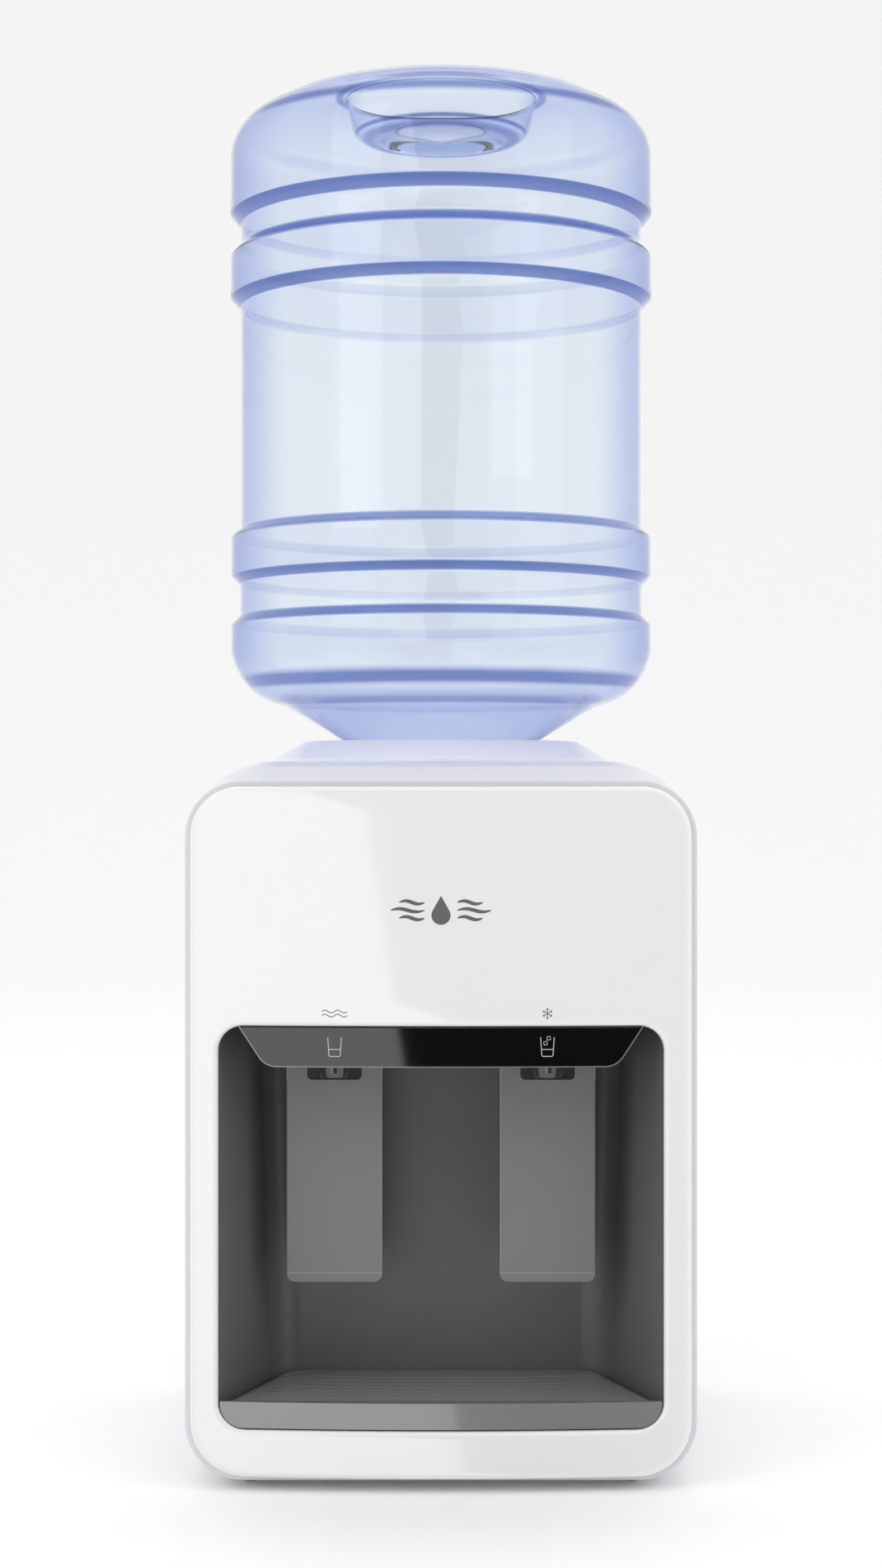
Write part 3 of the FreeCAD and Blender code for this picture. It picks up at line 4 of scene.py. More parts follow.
import bmesh
import bpy
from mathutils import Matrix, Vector


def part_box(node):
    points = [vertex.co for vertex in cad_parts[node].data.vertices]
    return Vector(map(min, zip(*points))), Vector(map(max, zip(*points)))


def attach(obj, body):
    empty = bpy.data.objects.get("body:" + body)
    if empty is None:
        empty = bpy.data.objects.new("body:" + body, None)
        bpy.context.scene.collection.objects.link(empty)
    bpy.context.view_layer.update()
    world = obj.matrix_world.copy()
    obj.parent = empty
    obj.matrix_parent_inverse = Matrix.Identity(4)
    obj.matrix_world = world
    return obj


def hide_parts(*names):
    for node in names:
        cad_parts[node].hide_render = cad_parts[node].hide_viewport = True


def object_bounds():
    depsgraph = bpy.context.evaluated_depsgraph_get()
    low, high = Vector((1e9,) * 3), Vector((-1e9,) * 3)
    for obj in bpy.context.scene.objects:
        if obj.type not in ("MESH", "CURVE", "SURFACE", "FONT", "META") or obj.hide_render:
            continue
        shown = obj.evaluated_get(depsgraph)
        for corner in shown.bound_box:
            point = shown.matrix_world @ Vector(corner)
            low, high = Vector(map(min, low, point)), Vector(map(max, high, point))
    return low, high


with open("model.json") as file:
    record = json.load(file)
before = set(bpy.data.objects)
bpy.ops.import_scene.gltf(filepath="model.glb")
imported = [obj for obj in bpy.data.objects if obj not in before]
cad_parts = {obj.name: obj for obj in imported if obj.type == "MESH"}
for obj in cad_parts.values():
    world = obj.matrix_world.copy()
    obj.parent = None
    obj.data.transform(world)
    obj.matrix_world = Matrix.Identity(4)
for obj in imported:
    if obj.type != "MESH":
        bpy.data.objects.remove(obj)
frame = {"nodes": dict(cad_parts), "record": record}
CAD_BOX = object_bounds()
MM = 0.001
MATERIALS = {}


# ---------------------------------------------------------------------------------------
# Materials
# ---------------------------------------------------------------------------------------

def new_material(name):
    """A new node material, kept under its name, with its node tree and its Principled shader."""
    made = bpy.data.materials.new(name)
    MATERIALS[name] = made
    made.use_nodes = True
    tree = made.node_tree
    return made, tree, tree.nodes["Principled BSDF"]


def set_sockets(node, **values):
    """Sets sockets by name; underscores in a name stand for spaces."""
    for key, value in values.items():
        node.inputs[key.replace("_", " ")].default_value = value


def add_noise(tree, scale, detail=3.0, stretch=(1.0, 1.0, 1.0)):
    """Noise in the object's own space, scaled per metre."""
    place = tree.nodes.new("ShaderNodeTexCoord")
    shape = tree.nodes.new("ShaderNodeMapping")
    shape.inputs["Scale"].default_value = stretch
    noise = tree.nodes.new("ShaderNodeTexNoise")
    noise.inputs["Scale"].default_value = scale
    noise.inputs["Detail"].default_value = detail
    tree.links.new(place.outputs["Object"], shape.inputs["Vector"])
    tree.links.new(shape.outputs["Vector"], noise.inputs["Vector"])
    return noise


def colour_ramp(tree, driver, stops):
    """Colours along a driver, from stops (position, colour) in order."""
    ramp = tree.nodes.new("ShaderNodeValToRGB")
    elements = ramp.color_ramp.elements
    for element, (position, colour) in zip(elements, (stops[0], stops[-1])):
        element.position = position
        element.color = (*colour, 1.0)
    for position, colour in stops[1:-1]:
        elements.new(position).color = (*colour, 1.0)
    tree.links.new(driver, ramp.inputs["Fac"])
    return ramp.outputs["Color"]


def mix_colours(tree, driver, low, high, start=0.35, end=0.65):
    """Two colours blended by a driver between two of its values."""
    return colour_ramp(tree, driver, ((start, low), (end, high)))


def map_range(tree, driver, low, high, start=0.0, end=1.0, smooth=False):
    """A driver between start and end, moved to another range."""
    mapped = tree.nodes.new("ShaderNodeMapRange")
    if smooth:
        mapped.interpolation_type = "SMOOTHSTEP"
    set_sockets(mapped, From_Min=start, From_Max=end, To_Min=low, To_Max=high)
    tree.links.new(driver, mapped.inputs["Value"])
    return mapped.outputs["Result"]


def combine(tree, operation, first, second):
    """One value worked out from two others."""
    node = tree.nodes.new("ShaderNodeMath")
    node.operation = operation
    tree.links.new(first, node.inputs[0])
    tree.links.new(second, node.inputs[1])
    return node.outputs["Value"]


def split_axes(tree, vector):
    """The X, Y and Z outputs of a vector."""
    split = tree.nodes.new("ShaderNodeSeparateXYZ")
    tree.links.new(vector, split.inputs["Vector"])
    return split.outputs


def bump_from(tree, shader, driver, strength, distance):
    bump = tree.nodes.new("ShaderNodeBump")
    set_sockets(bump, Strength=strength, Distance=distance)
    tree.links.new(driver, bump.inputs["Height"])
    tree.links.new(bump.outputs["Normal"], shader.inputs["Normal"])


def lighter(colour, factor):
    return tuple(min(channel * factor, 1.0) for channel in colour)


def plastic(name, colour, roughness, grain=900.0, grain_depth=0.02, coat=0.0, tone=0.06, uneven=0.05):
    """Moulded plastic: slight tone drift, a fine grain and uneven gloss."""
    made, tree, shader = new_material(name)
    drift = add_noise(tree, 9.0)
    fine = add_noise(tree, grain, 2.0)
    colours = mix_colours(tree, drift.outputs["Fac"], lighter(colour, 1 - tone), lighter(colour, 1 + tone))
    tree.links.new(colours, shader.inputs["Base Color"])
    gloss = map_range(tree, drift.outputs["Fac"], max(roughness - uneven, 0.02), roughness + uneven)
    tree.links.new(gloss, shader.inputs["Roughness"])
    bump_from(tree, shader, fine.outputs["Fac"], grain_depth * 10, 0.05 * MM)
    set_sockets(shader, Coat_Weight=coat, Coat_Roughness=0.04)
    return made


def line_mask(tree, driver, spot, half_width):
    """1 where the driver is within half_width of a spot, else 0."""
    mask = tree.nodes.new("ShaderNodeMath")
    mask.operation = "COMPARE"
    mask.inputs[1].default_value = spot
    mask.inputs[2].default_value = half_width
    tree.links.new(driver, mask.inputs[0])
    return mask.outputs["Value"]


def paddle_grey(name, colour):
    """Lever plastic: the plain grain, with a painted highlight along its sides and the crease above its
    foot.
    """
    made = plastic(name, colour, 0.38, grain_depth=0.01, tone=0.015, uneven=0.02)
    tree = made.node_tree
    shader = tree.nodes["Principled BSDF"]
    base = shader.inputs["Base Color"].links[0].from_socket
    place = tree.nodes.new("ShaderNodeTexCoord")
    axes = split_axes(tree, place.outputs["Generated"])
    side = 0.010
    crease, crease_half = 0.031, 0.0016
    left = line_mask(tree, axes["X"], 0.0, side)
    right = line_mask(tree, axes["X"], 1.0, side)
    foot = line_mask(tree, axes["Z"], crease, crease_half)
    highlight_lines = combine(tree, "MAXIMUM", combine(tree, "MAXIMUM", left, right), foot)
    blend = tree.nodes.new("ShaderNodeMix")
    blend.data_type = "RGBA"
    factor, plain, lit = blend.inputs[0], blend.inputs[6], blend.inputs[7]
    tree.links.new(highlight_lines, factor)
    tree.links.new(base, plain)
    # Painted highlight: the sides and the crease are lightened
    lit.default_value = (*lighter(colour, 1.55), 1.0)
    tree.links.new(blend.outputs[2], shader.inputs["Base Color"])
    return made


def metal(name, colour, roughness, stretch=(1.0, 1.0, 30.0), brush=0.15):
    """Rolled or drawn metal: streaks along one axis in its gloss, tone and height."""
    made, tree, shader = new_material(name)
    streaks = add_noise(tree, 60.0, 4.0, stretch)
    colours = mix_colours(tree, streaks.outputs["Fac"], lighter(colour, 0.86), lighter(colour, 1.1))
    tree.links.new(colours, shader.inputs["Base Color"])
    gloss = map_range(tree, streaks.outputs["Fac"], roughness * 0.6, roughness * 1.4)
    tree.links.new(gloss, shader.inputs["Roughness"])
    bump_from(tree, shader, streaks.outputs["Fac"], brush, 0.1 * MM)
    set_sockets(shader, Metallic=1.0)
    return made


BOTTLE_PALE = (0.915, 0.955, 0.985)
# Painted shade: the middle and deep blues are painted where the wall turns away, on its rings and on their
# shoulders
BOTTLE_SHADE_MIDDLE = (0.66, 0.72, 0.91)
BOTTLE_SHADE_DEEP = (0.15, 0.22, 0.55)
BOTTLE_WALL = (0.35, 0.52, 0.95)
BOTTLE_WALL_DENSITY = 15.0
# How much painted shade deepens the blue for a wall upright (0) to level (1): deep on ring shoulders and
# level walls
TILT_SHADES = ((0.0, 0.0), (0.46, 0.02), (0.58, 0.92), (0.70, 0.92), (0.78, 0.03), (1.0, 1.0))
FAR_WALL_SHARE = 0.22
TURNED_SHADE = 0.66
RING_SHADE = 0.12


def clear_blue(name):
    """Tinted clear plastic of the bottle: pale where it is seen square on, with painted shade that deepens
    the blue on the rings, on their shoulders and where the wall turns away."""
    made, tree, shader = new_material(name)
    drift = add_noise(tree, 14.0)
    tree.links.new(map_range(tree, drift.outputs["Fac"], 0.015, 0.05), shader.inputs["Roughness"])
    place = tree.nodes.new("ShaderNodeTexCoord")
    tilt = tree.nodes.new("ShaderNodeMath")
    tilt.operation = "ABSOLUTE"
    tree.links.new(split_axes(tree, place.outputs["Normal"])["Z"], tilt.inputs[0])
    stops = [(level, (depth, depth, depth)) for level, depth in TILT_SHADES]
    shoulders = colour_ramp(tree, tilt.outputs["Value"], stops)

    # A normal faces the viewer, so it points away from the axis on the near wall only
    outward = tree.nodes.new("ShaderNodeVectorMath")
    outward.operation = "MULTIPLY"
    outward.inputs[1].default_value = (1.0, 1.0, 0.0)
    tree.links.new(place.outputs["Object"], outward.inputs[0])
    away = tree.nodes.new("ShaderNodeVectorMath")
    away.operation = "DOT_PRODUCT"
    tree.links.new(outward.outputs["Vector"], away.inputs[0])
    tree.links.new(place.outputs["Normal"], away.inputs[1])
    # The far wall keeps only a share of the painted shade
    near_wall = map_range(tree, away.outputs["Value"], FAR_WALL_SHARE, 1.0, -1 * MM, 1 * MM)

    turned = tree.nodes.new("ShaderNodeLayerWeight")
    turned.inputs["Blend"].default_value = 0.5
    rim = map_range(tree, turned.outputs["Facing"], 0.0, TURNED_SHADE, 0.36, 0.93)
    deepest_shade = combine(tree, "MAXIMUM", combine(tree, "MULTIPLY", shoulders, near_wall), rim)
    reach = tree.nodes.new("ShaderNodeVectorMath")
    reach.operation = "LENGTH"
    tree.links.new(outward.outputs["Vector"], reach.inputs[0])
    rings = map_range(tree, reach.outputs["Value"], 0.0, RING_SHADE, 130 * MM, 133.5 * MM)
    # Painted shade: how far the blue is deepened, from shoulders, turned-away edges and rings
    depth = combine(tree, "ADD", deepest_shade, rings)
    blues = colour_ramp(tree, depth, ((0.0, BOTTLE_PALE), (0.4, BOTTLE_SHADE_MIDDLE), (1.0, BOTTLE_SHADE_DEEP)))
    tree.links.new(blues, shader.inputs["Base Color"])
    set_sockets(shader, Transmission_Weight=1.0, IOR=1.06, Coat_Weight=0.6, Coat_Roughness=0.02)

    wall = tree.nodes.new("ShaderNodeVolumeAbsorption")
    set_sockets(wall, Color=(*BOTTLE_WALL, 1.0), Density=BOTTLE_WALL_DENSITY)
    tree.links.new(wall.outputs["Volume"], tree.nodes["Material Output"].inputs["Volume"])
    return made


def make_materials():
    """One material for each slot of the record, and those of the printed marks and the painted highlight
    line.
    """
    plastic("housing_white", (0.72, 0.722, 0.755), 0.30, coat=0.2, tone=0.01)
    plastic("panel_white", (0.80, 0.80, 0.80), 0.10, grain_depth=0.001, coat=0.7, tone=0.004,
            uneven=0.02)
    plastic("rear_white", (0.66, 0.66, 0.67), 0.45, grain=500.0, grain_depth=0.04, tone=0.02)
    plastic("liner_grey", (0.145, 0.145, 0.146), 0.36, grain_depth=0.006, tone=0.02, uneven=0.01)
    plastic("fascia_black", (0.002, 0.002, 0.002), 0.05, grain_depth=0.0005, coat=0.6, tone=0.3,
            uneven=0.01)
    plastic("hood_dark", (0.03, 0.03, 0.032), 0.4)
    paddle_grey("lever_grey", (0.19, 0.19, 0.192))
    plastic("nozzle_dark", (0.05, 0.05, 0.053), 0.10, grain_depth=0.002, coat=0.8, uneven=0.01)
    plastic("tray_grey", (0.20, 0.20, 0.203), 0.14, grain_depth=0.002, coat=1.0, tone=0.02, uneven=0.02)
    plastic("grille_grey", (0.25, 0.25, 0.252), 0.30, grain_depth=0.006, tone=0.02, uneven=0.02)
    plastic("collar_white", (0.90, 0.90, 0.97), 0.3, tone=0.01)
    clear_blue("bottle_blue")
    plastic("cap_blue", (0.30, 0.45, 0.80), 0.4)
    plastic("black_rubber", (0.016, 0.016, 0.016), 0.75, grain=1500.0, grain_depth=0.06)
    metal("screw_steel", (0.55, 0.55, 0.56), 0.32)
    metal("zinc_steel", (0.60, 0.61, 0.62), 0.42, (1.0, 8.0, 1.0))
    metal("spring_steel", (0.50, 0.50, 0.52), 0.25)
    metal("tank_steel", (0.62, 0.62, 0.63), 0.24)
    plastic("valve_white", (0.78, 0.78, 0.76), 0.35)
    plastic("stem_acetal", (0.72, 0.72, 0.69), 0.4)
    plastic("silicone_hose", (0.70, 0.73, 0.73), 0.35)
    plastic("spout_white", (0.66, 0.66, 0.66), 0.4)
    plastic("foam_grey", (0.66, 0.66, 0.62), 0.85, grain=260.0, grain_depth=0.2)
    metal("copper", (0.72, 0.38, 0.24), 0.28)
    plastic("compressor_black", (0.016, 0.016, 0.016), 0.22, coat=0.5)
    metal("cast_core", (0.20, 0.20, 0.20), 0.6, (1.0, 1.0, 1.0), 0.4)
    plastic("relay_black", (0.025, 0.025, 0.025), 0.45)
    plastic("condenser_black", (0.02, 0.02, 0.02), 0.35, coat=0.3)
    plastic("knob_grey", (0.16, 0.16, 0.165), 0.4)
    plastic("print_grey", (0.105, 0.105, 0.108), 0.5, tone=0.03)
    # Painted highlight for the control strip's lower bevel
    plastic("bevel_highlight_paint", (0.16, 0.16, 0.162), 0.2, grain_depth=0.002, coat=0.5, tone=0.03)
    plastic("print_light", (0.62, 0.62, 0.62), 0.5, tone=0.03)


def dress_frame():
    """Every CAD node gets the material of its record slot."""
    slots = {part["node"]: part["material_slot"] for part in frame["record"]["subparts"]}
    for name, node in frame["nodes"].items():
        node.data.materials.clear()
        node.data.materials.append(MATERIALS[slots[name]])


# ---------------------------------------------------------------------------------------
# Mesh building
# ---------------------------------------------------------------------------------------

def turned_by(degrees):
    """Unit vector at an angle in a flat drawing."""
    turn = math.radians(degrees)
    return Vector((math.cos(turn), math.sin(turn)))


def rounded_path(corners, steps=6):
    """Points along corners (x, y) or (x, y, radius), each radius turned into an arc."""
    points = []
    last = len(corners) - 1
    for i, corner in enumerate(corners):
        here = Vector(corner[:2])
        if i in (0, last) or len(corner) < 3:
            points.append(here)
            continue
        radius = corner[2]
        before = (Vector(corners[i - 1][:2]) - here).normalized()
        after = (Vector(corners[i + 1][:2]) - here).normalized()
        half = before.angle(after) / 2
        middle = here + (before + after).normalized() * (radius / math.sin(half))
        start = here + before * (radius / math.tan(half)) - middle
        end = here + after * (radius / math.tan(half)) - middle
        sweep = start.angle_signed(end)
        for step in range(steps + 1):
            turn = -sweep * step / steps
            spun = Vector((start.x * math.cos(turn) - start.y * math.sin(turn),
                           start.x * math.sin(turn) + start.y * math.cos(turn)))
            points.append(middle + spun)
    return points


def inset_path(points, amount):
    """The path moved to its left by an amount, point by point."""
    shifted = []
    for i, here in enumerate(points):
        before = points[max(i - 1, 0)]
        after = points[min(i + 1, len(points) - 1)]
        along = (after - before).normalized()
        shifted.append(here + Vector((-along.y, along.x)) * amount)
    return shifted


def add_object(name, mesh):
    made = bpy.data.objects.new(name, mesh)
    bpy.context.scene.collection.objects.link(made)
    return made


def object_from(name, build, weld):
    """Turns a bmesh into an object, with close points joined and its normals facing out."""
    mesh = bpy.data.meshes.new(name)
    bmesh.ops.remove_doubles(build, verts=build.verts, dist=weld)
    bmesh.ops.recalc_face_normals(build, faces=build.faces)
    build.to_mesh(mesh)
    build.free()
    return add_object(name, mesh)


def skin_rings(name, rings):
    """Skins closed rings of equal length, row by row and from the last back to the first."""
    build = bmesh.new()
    rows = [[build.verts.new(point) for point in ring] for ring in rings]
    count = len(rings[0])
    for low, high in zip(rows, rows[1:] + rows[:1]):
        for i in range(count):
            j = (i + 1) % count
            build.faces.new((low[i], low[j], high[j], high[i]))
    made = object_from(name, build, 1e-7)
    made.data.shade_smooth()
    return made


def lathe(name, path, steps):
    """Turns a closed half section (radius, height) about the Z axis."""
    rings = []
    for step in range(steps):
        out = turned_by(360 * step / steps)
        rings.append([Vector((p.x * out.x, p.x * out.y, p.y)) for p in path])
    return skin_rings(name, rings)


def dress(made, material, slot, body, *replaced):
    """Gives a piece its material, the body it rides on and the nodes it stands for; slot is not used."""
    made.data.materials.append(MATERIALS[material])
    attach(made, body)
    if replaced:
        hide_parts(*replaced)


# ---------------------------------------------------------------------------------------
# Bottle
# ---------------------------------------------------------------------------------------

def make_bottle():
    """Blown bottle: open neck, cone, ringed body, and a dome with a pushed-in base."""
    low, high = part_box("water_bottle")
    mouth, top, wide = low.z, high.z, high.x
    ring, groove, waist = wide - 0.3 * MM, wide - 6.1 * MM, wide - 6.6 * MM
    neck, crease, belly = 27.5 * MM, 99 * MM, 126.4 * MM
    dome_edge, base_rim, base_floor = 93 * MM, 60 * MM, 54 * MM
    centre, wall = 0.2 * MM, 1.5 * MM
    corners = [(neck, mouth), (neck, mouth + 55 * MM, 4 * MM), (crease, mouth + 97.3 * MM, 14 * MM),
               (belly, mouth + 105.2 * MM, 40 * MM)]
    # Heights in millimetres above the mouth, with the radius that the wall steps to
    for height, radius in ((132, ring), (149.5, ring), (156, groove), (175, groove),
                           (181, ring), (205.5, ring), (211.5, waist), (351.5, waist),
                           (359, wide), (384.5, wide), (391.5, waist), (404, waist), (412.5, wide)):
        corners.append((radius, mouth + height * MM, 3.6 * MM))
    corners += [(wide, top - 25 * MM, 31 * MM), (dome_edge, top, 85 * MM), (base_rim, top, 5 * MM),
                (base_floor, top - 27 * MM, 9 * MM), (centre, top - 29 * MM)]
    outer = rounded_path(corners, 8)
    inner = inset_path(outer, wall)
    inner[0] = Vector((inner[0].x, mouth))
    inner[-1] = Vector((centre, inner[-1].y))
    made = lathe("bottle_shell", outer + list(reversed(inner)), 192)
    dress(made, "bottle_blue", "bottle_blue", "bottle", "water_bottle")


# ---------------------------------------------------------------------------------------
# Front panel
# ---------------------------------------------------------------------------------------

PANEL_LEAST, PANEL_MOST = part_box("front_panel")
PANEL_APEX = CAD_BOX[0].y + 0.1 * MM
BOW = 9 * MM
BOW_RADIUS = (PANEL_MOST.x ** 2 + BOW ** 2) / (2 * BOW)


def bow_at(x, apex):
    """Depth of the bowed front at a distance x from the middle."""
    return apex + BOW_RADIUS - math.sqrt(BOW_RADIUS ** 2 - x ** 2)


def rounded_loop(half, low, high, low_round, high_round, per_side=24, per_corner=8):
    """Points (x, z) round a rectangle, the same number for every size, so that loops match."""
    corners = []
    for side, z, radius, start in ((1, low, low_round, -90), (1, high, high_round, 0),
                                   (-1, high, high_round, 90), (-1, low, low_round, 180)):
        inward = radius if z == low else -radius
        corners.append((Vector((side * (half - radius), z + inward)), radius, start))
    points = []
    for index, (middle, radius, start) in enumerate(corners):
        arc = [middle + turned_by(start + 90 * step / per_corner) * radius for step in range(per_corner + 1)]
        next_middle, next_radius, next_start = corners[(index + 1) % len(corners)]
        goal = next_middle + turned_by(next_start) * next_radius
        points += arc
        points += [arc[-1].lerp(goal, step / per_side) for step in range(1, per_side)]
    return points


def make_front_panel():
    """Bowed glossy bezel with rolled edges outside and around the alcove."""
    half, low, high = PANEL_MOST.x, PANEL_LEAST.z, PANEL_MOST.z
    roll, skin = 3 * MM, 3 * MM
    roll_steps, face_steps, back_steps = 6, 12, 6

    def outer(inset):
        return rounded_loop(half - inset, low + inset, high - inset, 32 * MM - inset, 29 * MM - inset)

    def inner(outset):
        return rounded_loop(130.9 * MM + outset, 36.5 * MM - outset, 273.3 * MM + outset,
                            16 * MM + outset, 14.5 * MM + outset)

    def bowed(loop, depth):
        return [Vector((p.x, bow_at(p.x, PANEL_APEX) + depth, p.y)) for p in loop]

    def flat(loop):
        return [Vector((p.x, PANEL_MOST.y, p.y)) for p in loop]

    def between(loop, goal, share):
        return [a.lerp(b, share) for a, b in zip(loop, goal)]

    turns = [turned_by(90 * step / roll_steps) for step in range(roll_steps + 1)]
    rings = [flat(outer(skin)), flat(outer(0))]
    rings += [bowed(outer(roll * (1 - turn.x)), roll * (1 - turn.y)) for turn in turns]
    rings += [bowed(between(outer(roll), inner(roll), step / face_steps), 0.0)
              for step in range(1, face_steps)]
    rings += [bowed(inner(roll * (1 - turn.y)), roll * (1 - turn.x)) for turn in turns]
    rings += [flat(inner(0)), flat(inner(skin))]
    rings += [bowed(between(inner(skin), outer(skin), step / back_steps), skin)
              for step in range(back_steps + 1)]
    dress(skin_rings("front_bezel", rings), "panel_white", "panel_white", "casing", "front_panel")


# ---------------------------------------------------------------------------------------
# Printed marks and a painted highlight line: thin plates that follow the bow
# ---------------------------------------------------------------------------------------

PRINT_SLOTS = {"print_grey": "hood_dark", "bevel_highlight_paint": "hood_dark", "print_light": "fascia_black"}
OUTLET = 62.3 * MM


def plates(name, bands, apex, material, proud=0.05 * MM, sunk=0.2 * MM):
    """Printed shapes and painted highlight lines on the bowed front: each band is two equal rows of points
    (x, z) with a skin between them, from proud of the surface to sunk below it."""
    build = bmesh.new()
    for left, right in bands:
        layers = []
        for depth in (-proud, sunk):
            layers.append([[build.verts.new((p.x, bow_at(p.x, apex) + depth, p.y)) for p in row]
                           for row in (left, right)])
        (front_left, front_right), (back_left, back_right) = layers
        last = len(left) - 1
        for i in range(last):
            build.faces.new((front_left[i], front_right[i], front_right[i + 1], front_left[i + 1]))
            build.faces.new((back_left[i + 1], back_right[i + 1], back_right[i], back_left[i]))
            build.faces.new((front_left[i], front_left[i + 1], back_left[i + 1], back_left[i]))
            build.faces.new((front_right[i + 1], front_right[i], back_right[i], back_right[i + 1]))
        for i in (0, last):
            build.faces.new((front_left[i], front_right[i], back_right[i], back_left[i]))
    dress(object_from(name, build, 1e-6), material, PRINT_SLOTS[material], "casing")


def stroke(path, width):
    """A band of even width along a path."""
    return inset_path(path, width / 2), inset_path(path, -width / 2)


def brush_stroke(path, width):
    """A band along a path that swells in its middle."""
    last = len(path) - 1
    swells = [width / 2 * (0.12 + 0.88 * math.sin(math.pi * i / last) ** 0.6) for i in range(last + 1)]
    left = [inset_path(path, swell)[i] for i, swell in enumerate(swells)]
    right = [inset_path(path, -swell)[i] for i, swell in enumerate(swells)]
    return left, right


def moved(path, x, z):
    return [Vector((x + p.x, z + p.y)) for p in path]


def drop_halves(height, steps=28, point_steps=6):
    """A water drop, as its left and right outlines from the foot to the point."""
    radius = height * 0.33
    middle = Vector((0.0, -height * 0.17))
    right = [middle + turned_by(-90 + 115 * i / steps) * radius for i in range(steps + 1)]
    shoulder, point = right[-1], Vector((0.0, height * 0.5))
    right += [shoulder.lerp(point, step / point_steps) for step in range(1, point_steps + 1)]
    left = [Vector((-p.x, p.y)) for p in right]
    return left, right


def wave(length, height, humps, steps=48):
    return [Vector((length * (i / steps - 0.5), height * math.sin(2 * math.pi * humps * i / steps)))
            for i in range(steps + 1)]


def make_emblem():
    """A water drop between two sets of three waves, in the middle of the panel."""
    centre = 341.5 * MM
    bands = [tuple(moved(half, 0, centre) for half in drop_halves(17 * MM))]
    gap, pitch = 9.5 * MM, 4.6 * MM
    for side in (-1, 1):
        for row, length in ((-1, 15 * MM), (0, 20 * MM), (1, 15 * MM)):
            ripple = moved(wave(length, 0.9 * MM, 1), side * (gap + length / 2), centre - row * pitch)
            bands.append(brush_stroke(ripple, 2.2 * MM))
    plates("emblem", bands, PANEL_APEX, "print_grey")


def make_outlet_marks():
    """Two waves over the unchilled outlet and a snowflake over the chilled one."""
    label = 281 * MM
    ripples = [moved(wave(15 * MM, 0.8 * MM, 2), -OUTLET, label + row) for row in (-1.2 * MM, 1.2 * MM)]
    plates("mark_unchilled", [stroke(ripple, 0.5 * MM) for ripple in ripples], PANEL_APEX, "print_grey")
    arm, knot_at, twig_length = 3.2 * MM, 2.0 * MM, 1.1 * MM
    flake = []
    for turn in (90, 150, 210):
        across = turned_by(turn)
        flake.append(stroke(moved([-across * arm, across * arm], OUTLET, label), 0.45 * MM))
        for end in (180, 0):
            for tilt in (-45, 45):
                knot = turned_by(turn + end) * knot_at
                twig = turned_by(turn + end + tilt) * twig_length
                flake.append(stroke(moved([knot, knot + twig], OUTLET, label), 0.4 * MM))
    plates("mark_chilled", flake, PANEL_APEX, "print_grey")


def make_glass_icons():
    """A glass on the strip under each mark, the chilled one with two ice cubes."""
    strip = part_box("control_fascia")[0].y
    icon = 261.5 * MM
    brim, foot, half_height, corner = 4.0 * MM, 3.2 * MM, 5.6 * MM, 0.8 * MM
    level_half, level = 3.3 * MM, -1.6 * MM
    side, lean = 1.9 * MM, 0.3 * MM
    cup = rounded_path([(-brim, half_height), (-foot, -half_height, corner),
                        (foot, -half_height, corner), (brim, half_height)], 4)
    water = [Vector((-level_half, level)), Vector((level_half, level))]
    ice = [Vector((0, 0)), Vector((side, lean)), Vector((side - lean, side + lean)), Vector((-lean, side)),
           Vector((0, 0))]
    for name, x, cubes in (("icon_glass", -OUTLET, 0), ("icon_glass_ice", OUTLET, 2)):
        bands = [stroke(moved(cup, x, icon), 0.38 * MM), stroke(moved(water, x, icon), 0.35 * MM)]
        for cube in range(cubes):
            bands.append(stroke(moved(ice, x + (cube - 1) * side, icon + (1.0 + cube * 2.9) * MM), 0.3 * MM))
        plates(name, bands, strip, "print_light")


def make_strip_highlight():
    """Thin pale line painted as the highlight on the control strip's lower bevel, following its rounded
    ends.
    """
    low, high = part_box("control_fascia")
    foot, top, bend = 103.3 * MM, 119 * MM, 13 * MM
    path = rounded_path([(-top, high.z), (-foot, low.z, bend), (foot, low.z, bend), (top, high.z)], 10)
    inner = inset_path(path, 0.75 * MM)
    cuts = 12
    dense_outer, dense_inner = [], []
    for a, b, c, d in zip(path, path[1:], inner, inner[1:]):
        dense_outer += [a.lerp(b, step / cuts) for step in range(cuts)]
        dense_inner += [c.lerp(d, step / cuts) for step in range(cuts)]
    dense_outer.append(path[-1])
    dense_inner.append(inner[-1])
    # Painted highlight along the strip's lower bevel
    plates("strip_bevel_highlight", [(dense_outer, dense_inner)], low.y, "bevel_highlight_paint", proud=0.06 * MM)


# ---------------------------------------------------------------------------------------
# Studio
# ---------------------------------------------------------------------------------------

def make_camera():
    """Level camera in front of the object, a little above half its height."""
    data = bpy.data.cameras.new("camera")
    data.lens = 65.1
    data.sensor_width = 36.0
    data.shift_y = 0.0094
    camera = add_object("camera", data)
    camera.location = (0.0, -1.822, 0.4067)
    camera.rotation_euler = (math.radians(90), 0, 0)
    bpy.context.scene.camera = camera


def make_stage():
    """Pale floor that curves up into a backdrop."""
    half, back, bend, rise = 8.0, 7.5, 2.0, 4.5
    section = rounded_path([(-half, 0.0), (back, 0.0, bend), (back, rise)], 16)
    points = [(side, p.x, p.y) for p in section for side in (-half, half)]
    faces = [(2 * i, 2 * i + 1, 2 * i + 3, 2 * i + 2) for i in range(len(section) - 1)]
    mesh = bpy.data.meshes.new("studio_floor")
    mesh.from_pydata(points, [], faces)
    mesh.shade_smooth()
    floor = add_object("studio_floor", mesh)
    paper, tree, shader = new_material("studio_paper")
    fine = add_noise(tree, 40.0)
    whites = mix_colours(tree, fine.outputs["Fac"], (0.945, 0.945, 0.945), (0.955, 0.955, 0.955))
    tree.links.new(whites, shader.inputs["Base Color"])
    set_sockets(shader, Roughness=0.9)
    mesh.materials.append(paper)
    floor.visible_glossy = False


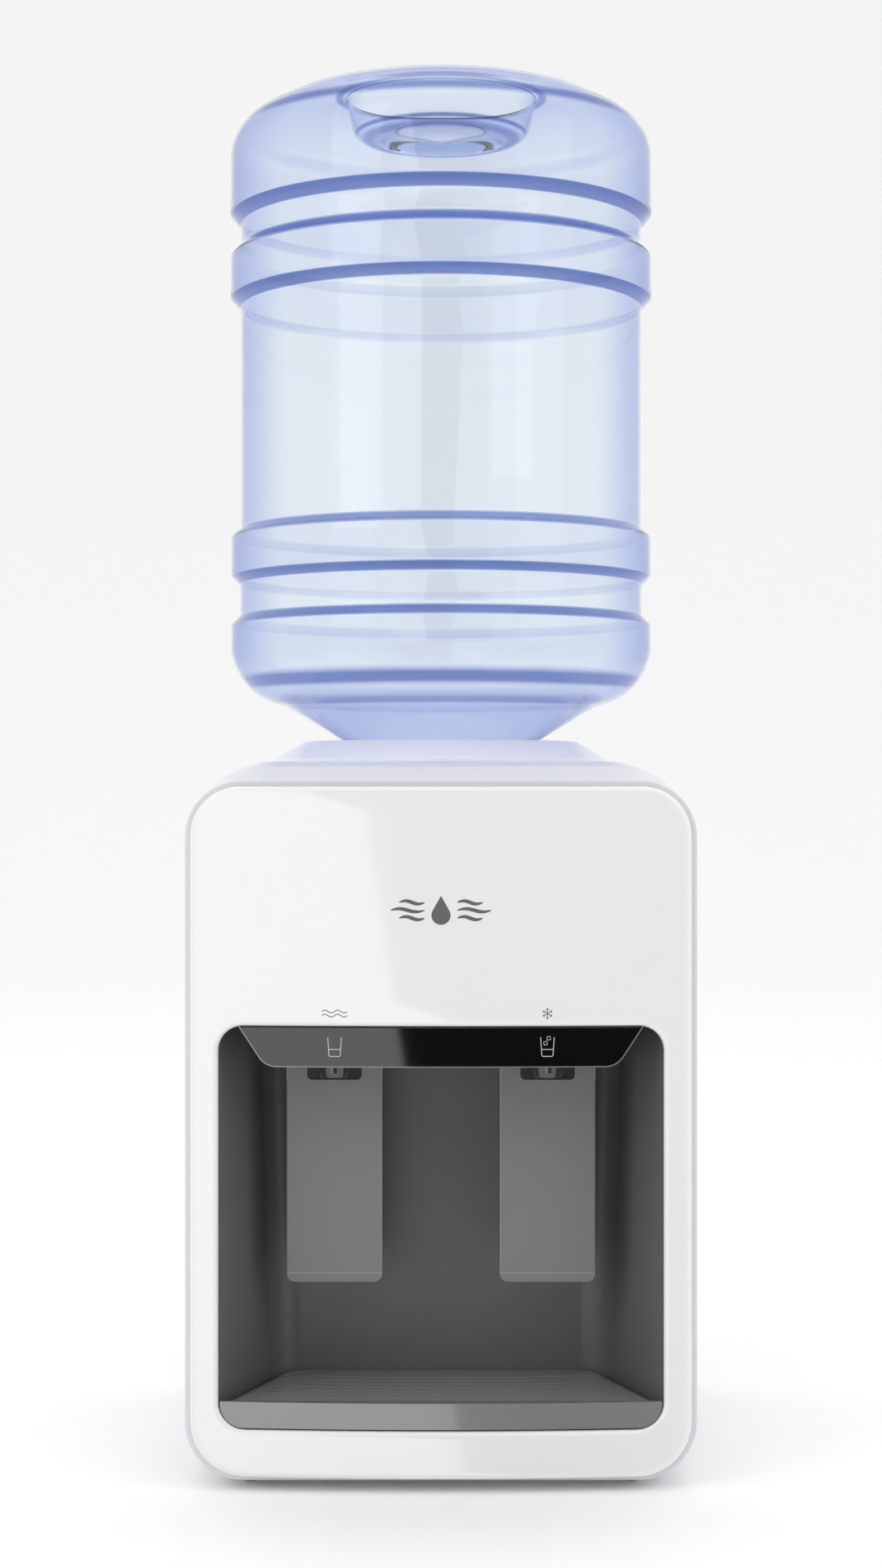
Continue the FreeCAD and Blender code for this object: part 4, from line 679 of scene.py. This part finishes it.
def add_light(name, spot, size, watts):
    """Area light aimed at the middle of the object."""
    data = bpy.data.lights.new(name, "AREA")
    data.shape = "RECTANGLE"
    data.size, data.size_y = size
    data.energy = watts
    light = add_object(name, data)
    light.location = spot
    light.rotation_euler = (Vector((0, 0, 0.4)) - Vector(spot)).to_track_quat("-Z", "Y").to_euler()


def make_world():
    """Soft studio surroundings. Straight ahead of the object a slanted edge parts a bright softbox
    on the left from a dark one on the right, and everywhere else the air is even and pale."""
    bright, dark, ambient = 1.7, 0.05, 1.05
    world = bpy.data.worlds.new("studio_air")
    world.use_nodes = True
    tree = world.node_tree
    place = tree.nodes.new("ShaderNodeTexCoord")
    slant = tree.nodes.new("ShaderNodeVectorMath")
    slant.operation = "DOT_PRODUCT"
    slant.inputs[1].default_value = (-1.0, 0.0, -0.57)
    tree.links.new(place.outputs["Generated"], slant.inputs[0])
    boxes = map_range(tree, slant.outputs["Value"], dark, bright, 0.098, 0.106, smooth=True)
    ahead = split_axes(tree, place.outputs["Generated"])["Y"]
    aside = map_range(tree, ahead, 0.0, 1.0, -0.94, -0.86, smooth=True)
    blend = tree.nodes.new("ShaderNodeMix")
    blend.data_type = "FLOAT"
    factor, near, far = blend.inputs[0], blend.inputs[2], blend.inputs[3]
    tree.links.new(aside, factor)
    tree.links.new(boxes, near)
    far.default_value = ambient
    air = tree.nodes["Background"]
    air.inputs["Color"].default_value = (1.0, 1.0, 1.0, 1.0)
    tree.links.new(blend.outputs[0], air.inputs["Strength"])
    bpy.context.scene.world = world


def make_lights():
    make_world()
    add_light("key_left", (-1.6, -1.6, 1.6), (1.2, 1.6), 6)
    add_light("fill_right", (1.8, -1.2, 1.2), (1.2, 1.6), 3)
    add_light("top_soft", (0, 0.2, 2.4), (1.6, 1.6), 6)
    bpy.context.scene.view_settings.view_transform = "Standard"


make_materials()
make_camera()
make_stage()
make_lights()
dress_frame()
make_bottle()
make_front_panel()
make_emblem()
make_outlet_marks()
make_glass_icons()
make_strip_highlight()
